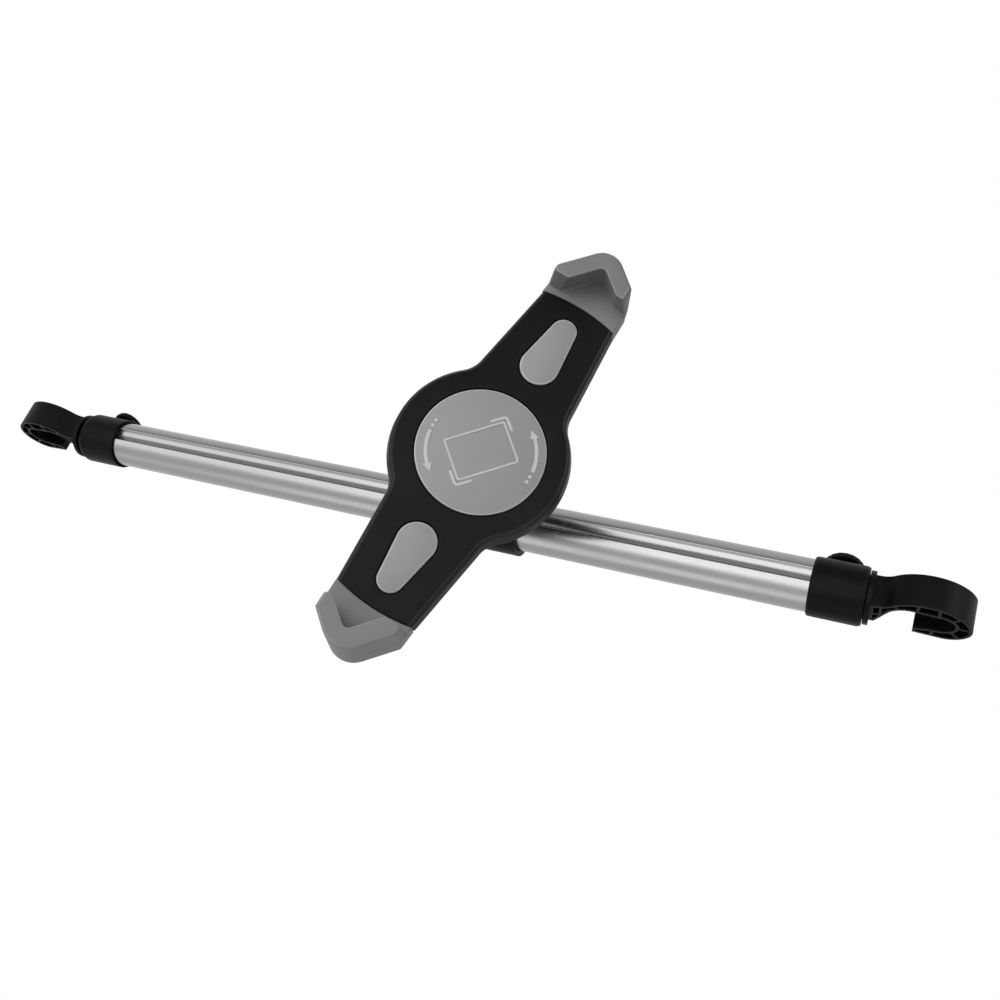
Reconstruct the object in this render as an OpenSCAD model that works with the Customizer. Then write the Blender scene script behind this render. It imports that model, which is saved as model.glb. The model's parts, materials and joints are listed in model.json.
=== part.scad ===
// Headrest tablet mount: a grooved bar with two post hooks and a swivelling corner-grip holder.
// X runs along the bar, -Y faces the rear passenger, +Z runs up the headrest posts.
// The origin is on the bar's axis, midway between the two collars. Millimetres.

/* [Display] */
// Which piece to draw, or all of them
// Facets of a full circle in the preview
round_steps = 72; // [24:8:144]

/* [Bar] */
// Outer diameter of the bar
bar_d = 25; // [18:0.5:36]
// Wall of the bar's profile
bar_wall = 1.8; // [1.2:0.1:2.6]
// Length of bar that shows between the collars
bar_between = 394.8; // [240:1:520]
// Width of the bar's front groove
groove_w = 7; // [4:0.5:9]
// Depth of the bar's front groove
groove_depth = 2.2; // [1:0.1:3]

/* [Collars and clamp knobs] */
// Outer diameter of each end collar
collar_d = 28; // [26.6:0.2:40]
// Length of each end collar
collar_len = 24.4; // [18:0.2:40]
// Bevel round the collar's outer edges
collar_bevel = 0.6; // [0.2:0.1:0.9]
// Lean of the clamp screws behind upright, in degrees
clamp_lean = 27; // [0:1:60]
// Diameter of the clamp screws
screw_d = 5; // [4:0.5:6]
// Outer diameter of the threaded inserts
insert_d = 7; // [6.2:0.2:9]
// Diameter of the collar knobs
knob_d = 20; // [16:0.5:24]
// Height of the collar knobs
knob_h = 3; // [2.4:0.1:8]
// Finger flutes round each knob
knob_flutes = 20; // [8:1:32]
// Depth of the finger flutes
flute_depth = 0.4; // [0.2:0.1:1]
// Rounding of each knob's rim
knob_edge = 1.2; // [0.6:0.1:1.2]

/* [Post hooks] */
// Radius of the seat that grips a headrest post
post_r = 6.9; // [5:0.1:7.5]
// Height of the hooks along the post
hook_h = 15.2; // [10:0.2:17]
// Reach from the flange to the post's axis
hook_reach = 29.2; // [27:0.2:36]
// Offset of the post's axis in front of the bar's axis
hook_drop = 3.2; // [1:0.1:5]
// Thickness of the hook round its end
hook_end_t = 7.2; // [5:0.1:9]
// Outer radius of the hook round its end
hook_end_r = 12; // [10:0.1:13]
// Thickness of the hook's front arm
hook_arm_t = 8.8; // [7.5:0.1:11]
// Thickness of the hook behind the post
hook_back_t = 7; // [5.5:0.1:9]
// Thickness of the hook's tip
hook_tip_t = 4.6; // [3.6:0.1:6]
// Gap between the hook's tip and its flange
hook_mouth = 19; // [17:0.2:24]
// Reach of the hook's neck in front of the bar's axis, at the flange
hook_neck = 9.1; // [8:0.1:9.4]
// Radius of the hollow between the neck and the front arm
hook_hollow = 8; // [5:0.5:9]
// Outer wall of the ribbed side
hook_skin = 1.4; // [1:0.1:2]
// Thickness of the ribs
rib_t = 1.3; // [0.8:0.1:2]
// Solid web left behind the ribs
hook_web = 2.5; // [1.5:0.1:5]
// Thickness of the flange that stops against the bar
flange_t = 2.4; // [1.6:0.1:5]
// Length of the shank that slides inside the bar
shank_len = 90; // [75:1:120]
// How far the left hook stands out of its collar, as stored
left_out = 2.8; // [0:0.1:60]

/* [Carriage and ball joint] */
// Place of the carriage along the bar
carriage_x = 42.9; // [-120:0.1:120]
// Length of the sliding sleeve
sleeve_len = 24; // [18:0.5:50]
// Wall of the sliding sleeve
sleeve_wall = 2.7; // [2:0.1:5]
// Diameter of the carriage's clamp knob
carriage_knob_d = 17; // [13:0.5:22]
// Height of the carriage's clamp knob
carriage_knob_h = 4; // [3:0.2:8]
// Distance from the bar's axis to the ball's centre
ball_reach = 52.9; // [48:0.1:70]
// Diameter of the ball
ball_d = 20; // [16:0.5:22]
// Diameter of the ball's neck
neck_d = 9; // [6:0.5:10]
// Radius of the pedestal that carries the ball stud
pedestal_r = 9.5; // [8.5:0.1:12]
// Height of the pedestal from the bar's axis
pedestal_h = 24; // [20:0.5:26]
// Thickness of the liner round the ball
seat_t = 1.44; // [1:0.02:2]
// Outer radius of the locking ring
ring_r = 18.6; // [17.6:0.1:22]
// Half-angle of the opening behind the ball, in degrees
ring_opening = 55; // [45:1:58]
// Swivel of the holder to the side, as stored, in degrees
swivel_set = 19.3; // [-20:0.1:20]
// Downward tilt of the holder, as stored, in degrees
tilt_set = 8; // [-12:0.1:12]
// Turn of the holder's arms, as stored, in degrees
spin_set = -13.5; // [-180:0.5:180]

/* [Holder shell] */
// Distance from the ball's centre to the disc's face
face_reach = 25; // [24:0.1:32]
// Radius of the hub
hub_r = 41; // [36:0.5:46]
// Radius of the seam between arm and jaw
seam_r = 85.5; // [76:0.5:100]
// Width of an arm at the seam
arm_tip_w = 38.4; // [37:0.2:46]
// Width of an arm at its root
arm_root_w = 48.6; // [45:0.2:56]
// Distance of an arm's root from the centre
arm_root = 38; // [34:0.5:46]
// Radius of the corner between hub and arm
neck_fillet = 14; // [6:0.5:20]
// Depth of the closed shell
shell_t = 12.5; // [12:0.1:16]
// Bevel round the shell's rims
shell_bevel = 1.4; // [0.6:0.1:2]
// Side wall of the shell
shell_wall = 2; // [1.4:0.1:2.4]
// Front wall of the shell
front_wall = 3; // [2.6:0.1:4]
// Back wall of the shell
back_wall = 2; // [1.6:0.1:3]
// Radius of the round inlay
disc_r = 29.85; // [24:0.1:33]
// Thickness of the inlays
inlay_t = 1.6; // [1.2:0.1:2]
// How far the inlays stand above the shell
inlay_proud = 0.3; // [0:0.05:0.6]
// Shell left between the long inlays and the seam
drop_margin = 8.2; // [5:0.1:16]
// Radius of the long inlay's wide end
drop_near_r = 9.2; // [6:0.1:11]
// Radius of the long inlay's narrow end
drop_far_r = 6.2; // [4:0.1:7.5]

/* [Jaws and rack drive] */
// Distance of the grip's inner corner from the centre
grip_corner = 100.5; // [98:0.5:116]
// Turn of the grip's corner off the arm's line, in degrees
grip_turn = 6.5; // [0:0.5:12]
// Width of the raised lip's rim
lip_w = 8.3; // [5:0.1:11]
// Height of the lip above the disc's face
lip_h = 16.5; // [10:0.5:22]
// Undercut of the lip's inner walls at their foot
lip_under = 2.2; // [0:0.1:3]
// Half width of the raised lip
lip_half = 17.7; // [15:0.1:18]
// Rounding of the grip's outer corner
grip_outer_r = 10; // [6:0.1:12]
// Width of a jaw's sliding stem
stem_w = 31; // [28:0.5:32]
// Thickness of a jaw's stem
stem_t = 3.1; // [2.4:0.1:3.3]
// Length of stem inside the arm
stem_len = 65; // [55:1:67]
// Width of a rack bar
rack_w = 6; // [4:0.2:7]
// Length of rack past the centre
rack_past = 58; // [54:1:70]
// Teeth on the pinion
pinion_teeth = 14; // [12:2:16]
// Tooth module of the rack drive
tooth_module = 1; // [0.8:0.1:1.1]
// Diameter of the pinion's axle
axle_d = 5; // [3:0.5:6]

/* [Fits] */
// Radial clearance of sliding sleeves and shanks
slide_fit = 0.3; // [0.1:0.05:0.5]
// Radial clearance of turning pins and the ball
running_fit = 0.06; // [0.02:0.01:0.1]
// Radial clearance of pieces pressed or screwed home
seat_fit = 0.05; // [0.02:0.01:0.15]
// Gap between faces that meet but move apart
face_gap = 0.4; // [0.2:0.05:1]
// Backlash of the rack teeth
backlash = 0.22; // [0.1:0.02:0.4]

/* [Hidden] */
$fn = round_steps;
e = 0.01;

// Bar and collars
bar_r = bar_d / 2;
bar_in = bar_r - bar_wall;
collar_x = bar_between / 2;
collar_end = collar_x + collar_len;
bar_half = collar_end - face_gap;
groove_floor = bar_r - groove_depth;
bump_y = groove_floor - bar_wall;
bump_w = groove_w + 2 * bar_wall;
key_w = groove_w - 2 * slide_fit;

// Clamp screws: distances are measured from the bar's axis along the screw
clamp_x = collar_x + collar_len / 2;
knob_low = collar_d / 2 + face_gap;
insert_low = bar_in - 1.9;
insert_top = collar_d / 2 - 0.2;
insert_flange_r = insert_d / 2 + 1;
channel_floor = insert_low - 1.4;
channel_w = insert_d + 2 * slide_fit + 1.2;
screw_tip = channel_floor + slide_fit;

// Hooks: x counts from the flange's outer face
flange_x = collar_end + face_gap + flange_t;
shank_r = bar_in - slide_fit;
seat_c = [hook_reach, -hook_drop];
end_c = seat_c + [post_r + hook_end_t - hook_end_r, post_r + hook_back_t - hook_end_r];
arc_lean = 20;
arc_more = (end_c[1] - hook_end_r - seat_c[1] + post_r + hook_arm_t) / (1 - sin(arc_lean));
arc_r = hook_end_r + arc_more;
arc_c = end_c + arc_more * [-cos(arc_lean), sin(arc_lean)];
hollow_y = -hook_neck - hook_hollow;
hollow_c = [arc_c[0] - sqrt(pow(arc_r + hook_hollow, 2) - pow(arc_c[1] - hollow_y, 2)), hollow_y];
hollow_end = atan2(arc_c[1] - hollow_y, arc_c[0] - hollow_c[0]);
throat_c = [hook_mouth - 1.4, 0];
throat_r = hook_drop + post_r + 0.9;
tip_in = post_r - hook_drop + 1.5;
tip_out = tip_in + hook_tip_t;
neck_back = [2.2, 7.3];
neck_rib = [4.4, -0.7];
seat_ribs = [-94, -49, 3, 48, 102];
throat_ribs = [-83, -121];

// Carriage
sleeve_in = bar_r + slide_fit;
sleeve_r = sleeve_in + sleeve_wall;
boss_r = insert_d / 2 + 3.2;
boss_top = sleeve_r + 2.4;
stud_r = 3;
hex_t = 3.4;

// Ball joint: z counts from the ball's centre along the holder's axis
ball_r = ball_d / 2;
seat_in = ball_r + running_fit;
seat_out = seat_in + seat_t;
socket_r = seat_out + running_fit;
seat_half = 4.5;
boss_out = socket_r + 3.6;
ring_in = boss_out + running_fit;
ring_shelf = 1.6;
ring_back = -9.5;

// Holder shell: z as above
shell_front = face_reach - inlay_proud;
shell_back = shell_front - shell_t;
inside_front = shell_front - front_wall;
drop_near = hub_r + drop_near_r;
drop_far = seam_r - drop_margin - drop_far_r;
inside_back = shell_back + back_wall;
parting = inside_back + 3.9;
ring_front = shell_back - face_gap;
line_d = [arm_tip_w / 2 - arm_root_w / 2, seam_r - arm_root];
line_n = [line_d[1], -line_d[0]] / norm(line_d);
line_u = line_d / norm(line_d);
line_p = [arm_root_w / 2, arm_root];
fillet_k = line_p * line_n + neck_fillet;
fillet_s = sqrt(pow(hub_r + neck_fillet, 2) - pow(fillet_k, 2));
fillet_c = fillet_k * line_n + fillet_s * line_u;
fillet_hub = fillet_c * hub_r / (hub_r + neck_fillet);
fillet_arm = fillet_c - neck_fillet * line_n;
boss_at = [26, 16];

// Jaws
pitch_r = pinion_teeth * tooth_module / 2;
rack_low = inside_back + 0.3;
rack_top = parting - 0.2;
stem_low = inside_front - 0.3 - stem_t;
stem_top = inside_front - 0.3;
stem_end = seam_r - stem_len;
lip_top = face_reach + lip_h;
addendum = 0.8 * tooth_module;
dedendum = 1.05 * tooth_module;
tooth_pitch = PI * tooth_module;

// Points of an arc about c from angle a0 to a1, in n steps, counted from the first one wanted
function arc(c, r, a0, a1, n, first = 0) = [for (i = [first : n])
    c + r * [cos(a0 + (a1 - a0) * i / n), sin(a0 + (a1 - a0) * i / n)]];

// Angle at which a line from p touches the circle about c, on the side given
function touch(p, c, r, side) = atan2(p[1] - c[1], p[0] - c[0]) + side * acos(r / norm(p - c));

// Lays a section drawn in Y and Z along the bar
module along_x(x0, len) {
    translate([x0, 0, 0])
        rotate([90, 0, 90])
            linear_extrude(len)
                children();
}

// Stands a piece on the clamp screw's line at x
module on_clamp(x) {
    translate([x, 0, 0])
        rotate([-clamp_lean, 0, 0])
            children();
}

// Puts a right-hand piece at its own end, or mirrored at the other
module at_side(side) {
    mirror([side < 0 ? 1 : 0, 0, 0])
        children();
}

// Carries a piece drawn on the holder's own axes to its place
module on_holder() {
    translate([carriage_x, -ball_reach, 0])
        rotate([0, 0, swivel_set])
            rotate([tilt_set, 0, 0])
                rotate([90, 0, 0])
                    rotate([0, 0, spin_set])
                        children();
}

// The bar's closed profile with its groove and the wall behind it
module bar_section() {
    difference() {
        circle(r = bar_r);
        translate([-bar_r - 1, -groove_w / 2])
            square([groove_depth + 1, groove_w]);
        difference() {
            circle(r = bar_in);
            translate([-bar_r, -bump_w / 2])
                square([bar_r - bump_y, bump_w]);
        }
    }
}

module rail_tube() {
    color([0.78, 0.79, 0.8])
        difference() {
            along_x(-bar_half, 2 * bar_half)
                bar_section();
            for (x = [-clamp_x, clamp_x])
                on_clamp(x)
                    cylinder(r = insert_d / 2 + seat_fit, h = collar_d);
        }
}

module collar() {
    difference() {
        union() {
            // The hook's end has the longer bevel
            translate([collar_x, 0, 0])
                rotate([0, 90, 0])
                    rotate_extrude()
                        polygon([[bar_r + seat_fit, 0], [collar_d / 2 - collar_bevel, 0],
                            [collar_d / 2, 1.5 * collar_bevel], [collar_d / 2, collar_len - 2.5 * collar_bevel],
                            [collar_d / 2 - collar_bevel, collar_len], [bar_r + seat_fit, collar_len]]);
            along_x(collar_x, collar_len)
                intersection() {
                    circle(r = (bar_r + collar_d / 2) / 2);
                    translate([-bar_r - 1, -key_w / 2])
                        square([bar_r + 1 - groove_floor - seat_fit, key_w]);
                }
        }
        on_clamp(clamp_x)
            cylinder(r = insert_flange_r + seat_fit, h = collar_d);
        // Small lead-in bevels at both mouths
        for (s = [0, 1])
            translate([collar_x + s * collar_len, 0, 0])
                rotate([0, 90 - 180 * s, 0])
                    translate([0, 0, -e])
                        cylinder(r1 = bar_r + 0.8, r2 = bar_r, h = 0.8);
    }
}

module left_collar() {
    color([0.12, 0.12, 0.13])
        at_side(-1)
            collar();
}

module right_collar() {
    color([0.12, 0.12, 0.13])
        at_side(1)
            collar();
}

// A flanged threaded insert from low to top, with the flange at the top
module insert(low, top, flange) {
    difference() {
        union() {
            translate([0, 0, low])
                cylinder(r = insert_d / 2, h = top - low);
            translate([0, 0, flange])
                cylinder(r = insert_flange_r, h = top - flange);
        }
        translate([0, 0, low - 1])
            cylinder(r = screw_d / 2 + running_fit, h = top - low + 2);
    }
}

module left_insert() {
    color([0.8, 0.68, 0.4])
        on_clamp(-clamp_x)
            insert(insert_low, insert_top, bar_r + seat_fit);
}

module right_insert() {
    color([0.8, 0.68, 0.4])
        on_clamp(clamp_x)
            insert(insert_low, insert_top, bar_r + seat_fit);
}

// A low fluted knob with a softened rim and a dished top
module knob_head(d, h, flutes, hole) {
    difference() {
        rotate_extrude()
            polygon(concat([[hole, 0]],
                arc([d / 2 - knob_edge, knob_edge], knob_edge, -90, 0, 3),
                arc([d / 2 - knob_edge, h - knob_edge], knob_edge, 0, 90, 3),
                [[d / 2 - 2.4, h], [hole, h - 0.5]]));
        for (i = [0 : flutes - 1])
            rotate([0, 0, (i + 0.5) * 360 / flutes])
                translate([d / 2 + 1.6 - flute_depth, 0, -1])
                    cylinder(r = 1.6, h = h + 2);
    }
}

// The steel screw, from its tip to its driven head inside the knob
module clamp_screw(tip, base, h) {
    translate([0, 0, tip])
        cylinder(r = screw_d / 2, h = base + h - 1.1 - tip);
}

module left_knob() {
    color([0.1, 0.1, 0.11])
        on_clamp(-clamp_x)
            translate([0, 0, knob_low])
                knob_head(knob_d, knob_h, knob_flutes, screw_d / 2);
}

module right_knob() {
    color([0.1, 0.1, 0.11])
        on_clamp(clamp_x)
            translate([0, 0, knob_low])
                knob_head(knob_d, knob_h, knob_flutes, screw_d / 2);
}

module left_clamp_screw() {
    color([0.6, 0.61, 0.63])
        on_clamp(-clamp_x)
            clamp_screw(screw_tip, knob_low, knob_h);
}

module right_clamp_screw() {
    color([0.6, 0.61, 0.63])
        on_clamp(clamp_x)
            clamp_screw(screw_tip, knob_low, knob_h);
}

// The hook's outline from above as one loop: the outside, then the way in and the seat, drawn in by t
function hook_loop(t) =
    let (seat_line = t == 0 ? post_r - 0.12 : post_r + t,
        front = [t == 0 ? -e : t, t - hook_neck],
        tip = [hook_mouth + t, tip_out - t],
        upper = seat_c + seat_line * [cos(95), sin(95)],
        lower = seat_c + seat_line * [cos(95), -sin(95)],
        inner = t == 0 ? neck_back : [t + 0.4, neck_back[1] - 2.2 * (2.1 * t + 0.4 - neck_back[0])])
    concat([front],
        arc(hollow_c, hook_hollow + t, 90, hollow_end, 8),
        arc(arc_c, arc_r - t, 180 + hollow_end, 360 - arc_lean, 24, 1),
        arc(end_c, hook_end_r - t, -arc_lean, touch(tip, end_c, hook_end_r - t, -1), 20, 1),
        [tip, [hook_mouth + t, tip_in + 1.1 * t]],
        arc(seat_c, seat_line, 95, -95, 30),
        arc(throat_c, throat_r + t, touch(lower, throat_c, throat_r + t, -1), -360 + touch(inner, throat_c, throat_r + t, 1), 14),
        [inner, [front[0], inner[1]]]);

module rib_bars() {
    for (a = seat_ribs)
        translate(seat_c)
            rotate([0, 0, a])
                translate([post_r, -rib_t / 2])
                    square([14, rib_t]);
    for (a = throat_ribs)
        translate(throat_c)
            rotate([0, 0, a])
                translate([throat_r, -rib_t / 2])
                    square([12, rib_t]);
    translate([neck_rib[0] - rib_t / 2, -20])
        square([rib_t, 30]);
    translate([0, neck_rib[1] - rib_t / 2])
        square([neck_rib[0], rib_t]);
}

module hook() {
    translate([flange_x, 0, 0]) {
        difference() {
            translate([0, 0, -hook_h / 2])
                linear_extrude(hook_h)
                    polygon(hook_loop(0));
            translate([seat_c[0], seat_c[1], -hook_h])
                cylinder(r = post_r, h = 2 * hook_h);
            translate([0, 0, -hook_h / 2 - 1])
                linear_extrude(hook_h - hook_web + 1)
                    difference() {
                        polygon(hook_loop(hook_skin));
                        rib_bars();
                    }
        }
        translate([-flange_t, 0, 0])
            rotate([0, 90, 0])
                cylinder(r = bar_r, h = flange_t);
    }
    along_x(flange_x - flange_t - shank_len, shank_len + e)
        difference() {
            circle(r = shank_r);
            // Way past the wall behind the groove
            translate([-bar_r, -bump_w / 2 - slide_fit])
                square([bar_r - bump_y + slide_fit, bump_w + 2 * slide_fit]);
            // Channel that the clamp screw bears in
            rotate([0, 0, 90 - clamp_lean])
                translate([channel_floor, -channel_w / 2])
                    square([bar_r, channel_w]);
        }
}

module left_hook() {
    color([0.11, 0.11, 0.12])
        at_side(-1)
            translate([left_out, 0, 0])
                hook();
}

module right_hook() {
    color([0.11, 0.11, 0.12])
        at_side(1)
            hook();
}

module carriage() {
    color([0.12, 0.12, 0.13])
        difference() {
            union() {
                along_x(carriage_x - sleeve_len / 2, sleeve_len)
                    circle(r = sleeve_r);
                translate([carriage_x, 0, 0])
                    rotate([90, 0, 0])
                        cylinder(r = pedestal_r, h = pedestal_h);
                // Gussets from the sleeve to the pedestal
                translate([carriage_x, 0, 0])
                    rotate([0, 0, 180])
                        linear_extrude(5, center = true)
                            polygon([[-sleeve_len / 2, bar_r], [-sleeve_len / 2, sleeve_r], [-pedestal_r, pedestal_h - 1],
                                [pedestal_r, pedestal_h - 1], [sleeve_len / 2, sleeve_r], [sleeve_len / 2, bar_r]]);
                on_clamp(carriage_x)
                    cylinder(r = boss_r, h = boss_top);
            }
            along_x(carriage_x - sleeve_len, 2 * sleeve_len)
                difference() {
                    circle(r = sleeve_in);
                    translate([-sleeve_in - 1, -key_w / 2])
                        square([sleeve_in + 1 - groove_floor - slide_fit, key_w]);
                }
            on_clamp(carriage_x)
                cylinder(r = insert_d / 2 + seat_fit, h = 2 * boss_top);
            translate([carriage_x, -sleeve_in - 0.8, 0])
                rotate([90, 0, 0])
                    cylinder(r = stud_r + seat_fit, h = pedestal_h);
        }
}

module carriage_insert() {
    color([0.8, 0.68, 0.4])
        on_clamp(carriage_x)
            difference() {
                translate([0, 0, sleeve_in + 0.4])
                    cylinder(r = insert_d / 2, h = boss_top - sleeve_in - 0.4);
                cylinder(r = screw_d / 2 + running_fit, h = 2 * boss_top);
            }
}

module carriage_knob() {
    color([0.1, 0.1, 0.11])
        on_clamp(carriage_x)
            translate([0, 0, boss_top + face_gap])
                knob_head(carriage_knob_d, carriage_knob_h, knob_flutes - 4, screw_d / 2);
}

module carriage_screw() {
    color([0.6, 0.61, 0.63])
        on_clamp(carriage_x)
            clamp_screw(bar_r + slide_fit, boss_top + face_gap, carriage_knob_h);
}

module ball_stud() {
    color([0.62, 0.63, 0.65])
        translate([carriage_x, 0, 0])
            rotate([90, 0, 0]) {
                translate([0, 0, sleeve_in + 1])
                    cylinder(r = stud_r, h = pedestal_h - sleeve_in - 1 + e);
                translate([0, 0, pedestal_h])
                    cylinder(r = 7.6, h = hex_t, $fn = 6);
                translate([0, 0, pedestal_h + hex_t - e])
                    cylinder(r = neck_d / 2, h = ball_reach - pedestal_h - hex_t);
                translate([0, 0, ball_reach])
                    sphere(r = ball_r);
            }
}

module ball_seat() {
    color([0.85, 0.85, 0.82])
        on_holder()
            rotate_extrude()
                intersection() {
                    difference() {
                        circle(r = seat_out);
                        circle(r = seat_in);
                    }
                    translate([0, -seat_half])
                        square([seat_out + 1, 2 * seat_half]);
                }
}

module lock_ring() {
    color([0.12, 0.12, 0.13])
        on_holder()
            difference() {
                rotate_extrude()
                    difference() {
                        polygon([[0, ring_back], [ring_r - 2, ring_back], [ring_r, ring_back + 2], [ring_r, ring_front - 1],
                            [ring_r - 1, ring_front], [0, ring_front]]);
                        intersection() {
                            circle(r = socket_r);
                            translate([0, -20])
                                square([40, 40]);
                        }
                        translate([0, ring_shelf])
                            square([ring_in, 40]);
                        polygon([[0, 0], [0, -30], [30 * tan(ring_opening), -30]]);
                    }
                for (i = [0 : 23])
                    rotate([0, 0, i * 15])
                        translate([ring_r + 1.2, 0, ring_back - 1])
                            cylinder(r = 2, h = ring_front - ring_back - 2, $fn = 24);
            }
}

// The shell's outline drawn in by t and ended at radius r, one quarter and then all round
function outline_quarter(t, r) =
    let (hub_end = atan2(fillet_hub[1], fillet_hub[0]),
        edge = line_p - t * line_n,
        along = edge * line_u,
        tip = edge + (sqrt(along * along - edge * edge + r * r) - along) * line_u)
    concat(arc([0, 0], hub_r - t, 0, hub_end, 12),
        arc(fillet_c, neck_fillet + t, hub_end + 180, atan2(-line_n[1], -line_n[0]) + 360, 8, 1),
        arc([0, 0], r, atan2(tip[1], tip[0]), 90, 6));

function holder_outline(t, r) =
    let (q = outline_quarter(t, r), n = len(q))
    concat([for (i = [0 : n - 1]) q[i]],
        [for (i = [n - 2 : -1 : 0]) [-q[i][0], q[i][1]]],
        [for (i = [1 : n - 1]) -q[i]],
        [for (i = [n - 2 : -1 : 1]) [q[i][0], -q[i][1]]]);

// One half of the shell: a plate of height h whose rim steps in by c at the top
module holder_plate(h, c) {
    linear_extrude(h - c)
        polygon(holder_outline(0, seam_r));
    linear_extrude(h)
        polygon(holder_outline(c, seam_r));
}

// The long inlay's outline, grown by g
function drop_loop(g) =
    let (b = asin((drop_near_r - drop_far_r) / (drop_far - drop_near)))
    concat(arc([0, drop_near], drop_near_r + g, 180 - b, 360 + b, 26),
        arc([0, drop_far], drop_far_r + g, b, 180 - b, 20));

module front_shell() {
    color([0.1, 0.1, 0.11])
        on_holder()
            difference() {
                union() {
                    difference() {
                        translate([0, 0, parting])
                            holder_plate(shell_front - parting, shell_bevel);
                        translate([0, 0, parting - 1])
                            linear_extrude(inside_front - parting + 1)
                                polygon(holder_outline(shell_wall, seam_r + 5));
                    }
                    // Rails that guide the stems
                    for (s = [0, 180])
                        for (m = [-1, 1])
                            rotate([0, 0, s])
                                translate([m * (stem_w / 2 + slide_fit + 0.6) - 0.6, 42, parting])
                                    cube([1.2, seam_r - 44, inside_front - parting + e]);
                    // Posts for the screws that close the shell
                    for (x = [-1, 1])
                        for (y = [-1, 1])
                            translate([x * boss_at[0], y * boss_at[1], parting])
                                cylinder(r = 3.4, h = inside_front - parting + e);
                    // Boss for the pinion's axle
                    translate([0, 0, rack_top + 0.3])
                        cylinder(r = axle_d / 2 + 2, h = inside_front - rack_top - 0.3 + e);
                }
                // Recesses for the inlays
                translate([0, 0, shell_front + inlay_proud - inlay_t - seat_fit])
                    cylinder(r = disc_r + seat_fit + 0.1, h = inlay_t + 1);
                for (s = [0, 180])
                    rotate([0, 0, s])
                        translate([0, 0, shell_front + inlay_proud - inlay_t - seat_fit])
                            linear_extrude(inlay_t + 1)
                                polygon(drop_loop(seat_fit + 0.1));
                translate([0, 0, parting - 1])
                    cylinder(r = axle_d / 2 + seat_fit, h = inside_front - parting + 1.6);
                for (x = [-1, 1])
                    for (y = [-1, 1])
                        translate([x * boss_at[0], y * boss_at[1], parting - 1])
                            cylinder(r = 1.2, h = 4.4);
            }
}

module back_shell() {
    color([0.1, 0.1, 0.11])
        on_holder()
            difference() {
                union() {
                    difference() {
                        translate([0, 0, parting])
                            mirror([0, 0, 1])
                                holder_plate(parting - shell_back, shell_bevel);
                        translate([0, 0, inside_back])
                            linear_extrude(parting - inside_back + 1)
                                polygon(holder_outline(shell_wall, seam_r + 5));
                    }
                    // Threaded boss that takes the locking ring
                    translate([0, 0, ring_shelf + 0.4])
                        cylinder(r = boss_out, h = shell_back - ring_shelf);
                    for (x = [-1, 1])
                        for (y = [-1, 1])
                            translate([x * boss_at[0], y * boss_at[1], shell_back + 0.5])
                                cylinder(r = 3.8, h = parting - shell_back - 0.5);
                    // Rails beside the racks
                    for (s = [0, 180])
                        rotate([0, 0, s])
                            translate([pitch_r + dedendum + rack_w + slide_fit, -34, inside_back - e])
                                cube([1.2, 116, rack_top - inside_back - 0.6]);
                    translate([0, 0, inside_back - e])
                        cylinder(r = axle_d / 2 + 1.2, h = 0.3);
                }
                sphere(r = socket_r);
                // Relief over the top of the ball
                cylinder(r = 2.5, h = socket_r + 0.5);
                translate([0, 0, shell_back + 1])
                    cylinder(r = axle_d / 2 + seat_fit, h = parting);
                for (x = [-1, 1])
                    for (y = [-1, 1])
                        translate([x * boss_at[0], y * boss_at[1], shell_back - 1]) {
                            cylinder(r = 2.9, h = 3);
                            cylinder(r = 1.6, h = parting);
                        }
            }
}

module disc_inlay() {
    color([0.56, 0.56, 0.57])
        on_holder()
            translate([0, 0, shell_front + inlay_proud - inlay_t])
                union() {
                    cylinder(r = disc_r, h = inlay_t - 0.3);
                    translate([0, 0, inlay_t - 0.3])
                        cylinder(r1 = disc_r, r2 = disc_r - 0.3, h = 0.3);
                }
}

module drop_inlay() {
    translate([0, 0, shell_front + inlay_proud - inlay_t])
        linear_extrude(inlay_t)
            polygon(drop_loop(0));
}

module upper_inlay() {
    color([0.56, 0.56, 0.57])
        on_holder()
            drop_inlay();
}

module lower_inlay() {
    color([0.56, 0.56, 0.57])
        on_holder()
            rotate([0, 0, 180])
                drop_inlay();
}

module pinion_axle() {
    color([0.62, 0.63, 0.65])
        on_holder()
            translate([0, 0, shell_back + 1 + seat_fit])
                cylinder(r = axle_d / 2, h = inside_front + 0.5 - shell_back - 1 - seat_fit);
}

// Involute of a circle of radius b, at roll angle a in degrees
function involute(b, a) = [b * (cos(a) + a * PI / 180 * sin(a)), b * (sin(a) - a * PI / 180 * cos(a))];
function turned(p, a) = [p[0] * cos(a) - p[1] * sin(a), p[0] * sin(a) + p[1] * cos(a)];

base_r = pitch_r * cos(20);
root_r = pitch_r - dedendum;
crown_r = pitch_r + addendum;
half_tooth = 90 / pinion_teeth + (tan(20) - 20 * PI / 180) * 180 / PI - backlash / 2 / pitch_r * 90 / PI;
roll_end = sqrt(pow(crown_r / base_r, 2) - 1) * 180 / PI;
flank = concat([[root_r, 0]], [for (i = [0 : 6]) involute(base_r, roll_end * i / 6)]);
tooth = concat([for (p = flank) turned(p, -half_tooth)],
    [for (i = [len(flank) - 1 : -1 : 0]) turned([flank[i][0], -flank[i][1]], half_tooth)]);

module pinion() {
    color([0.9, 0.9, 0.86])
        on_holder()
            translate([0, 0, rack_low])
                linear_extrude(rack_top - rack_low)
                    difference() {
                        union() {
                            circle(r = root_r);
                            for (i = [0 : pinion_teeth - 1])
                                rotate([0, 0, i * 360 / pinion_teeth])
                                    polygon(tooth);
                        }
                        circle(r = axle_d / 2 + running_fit);
                    }
}

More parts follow.
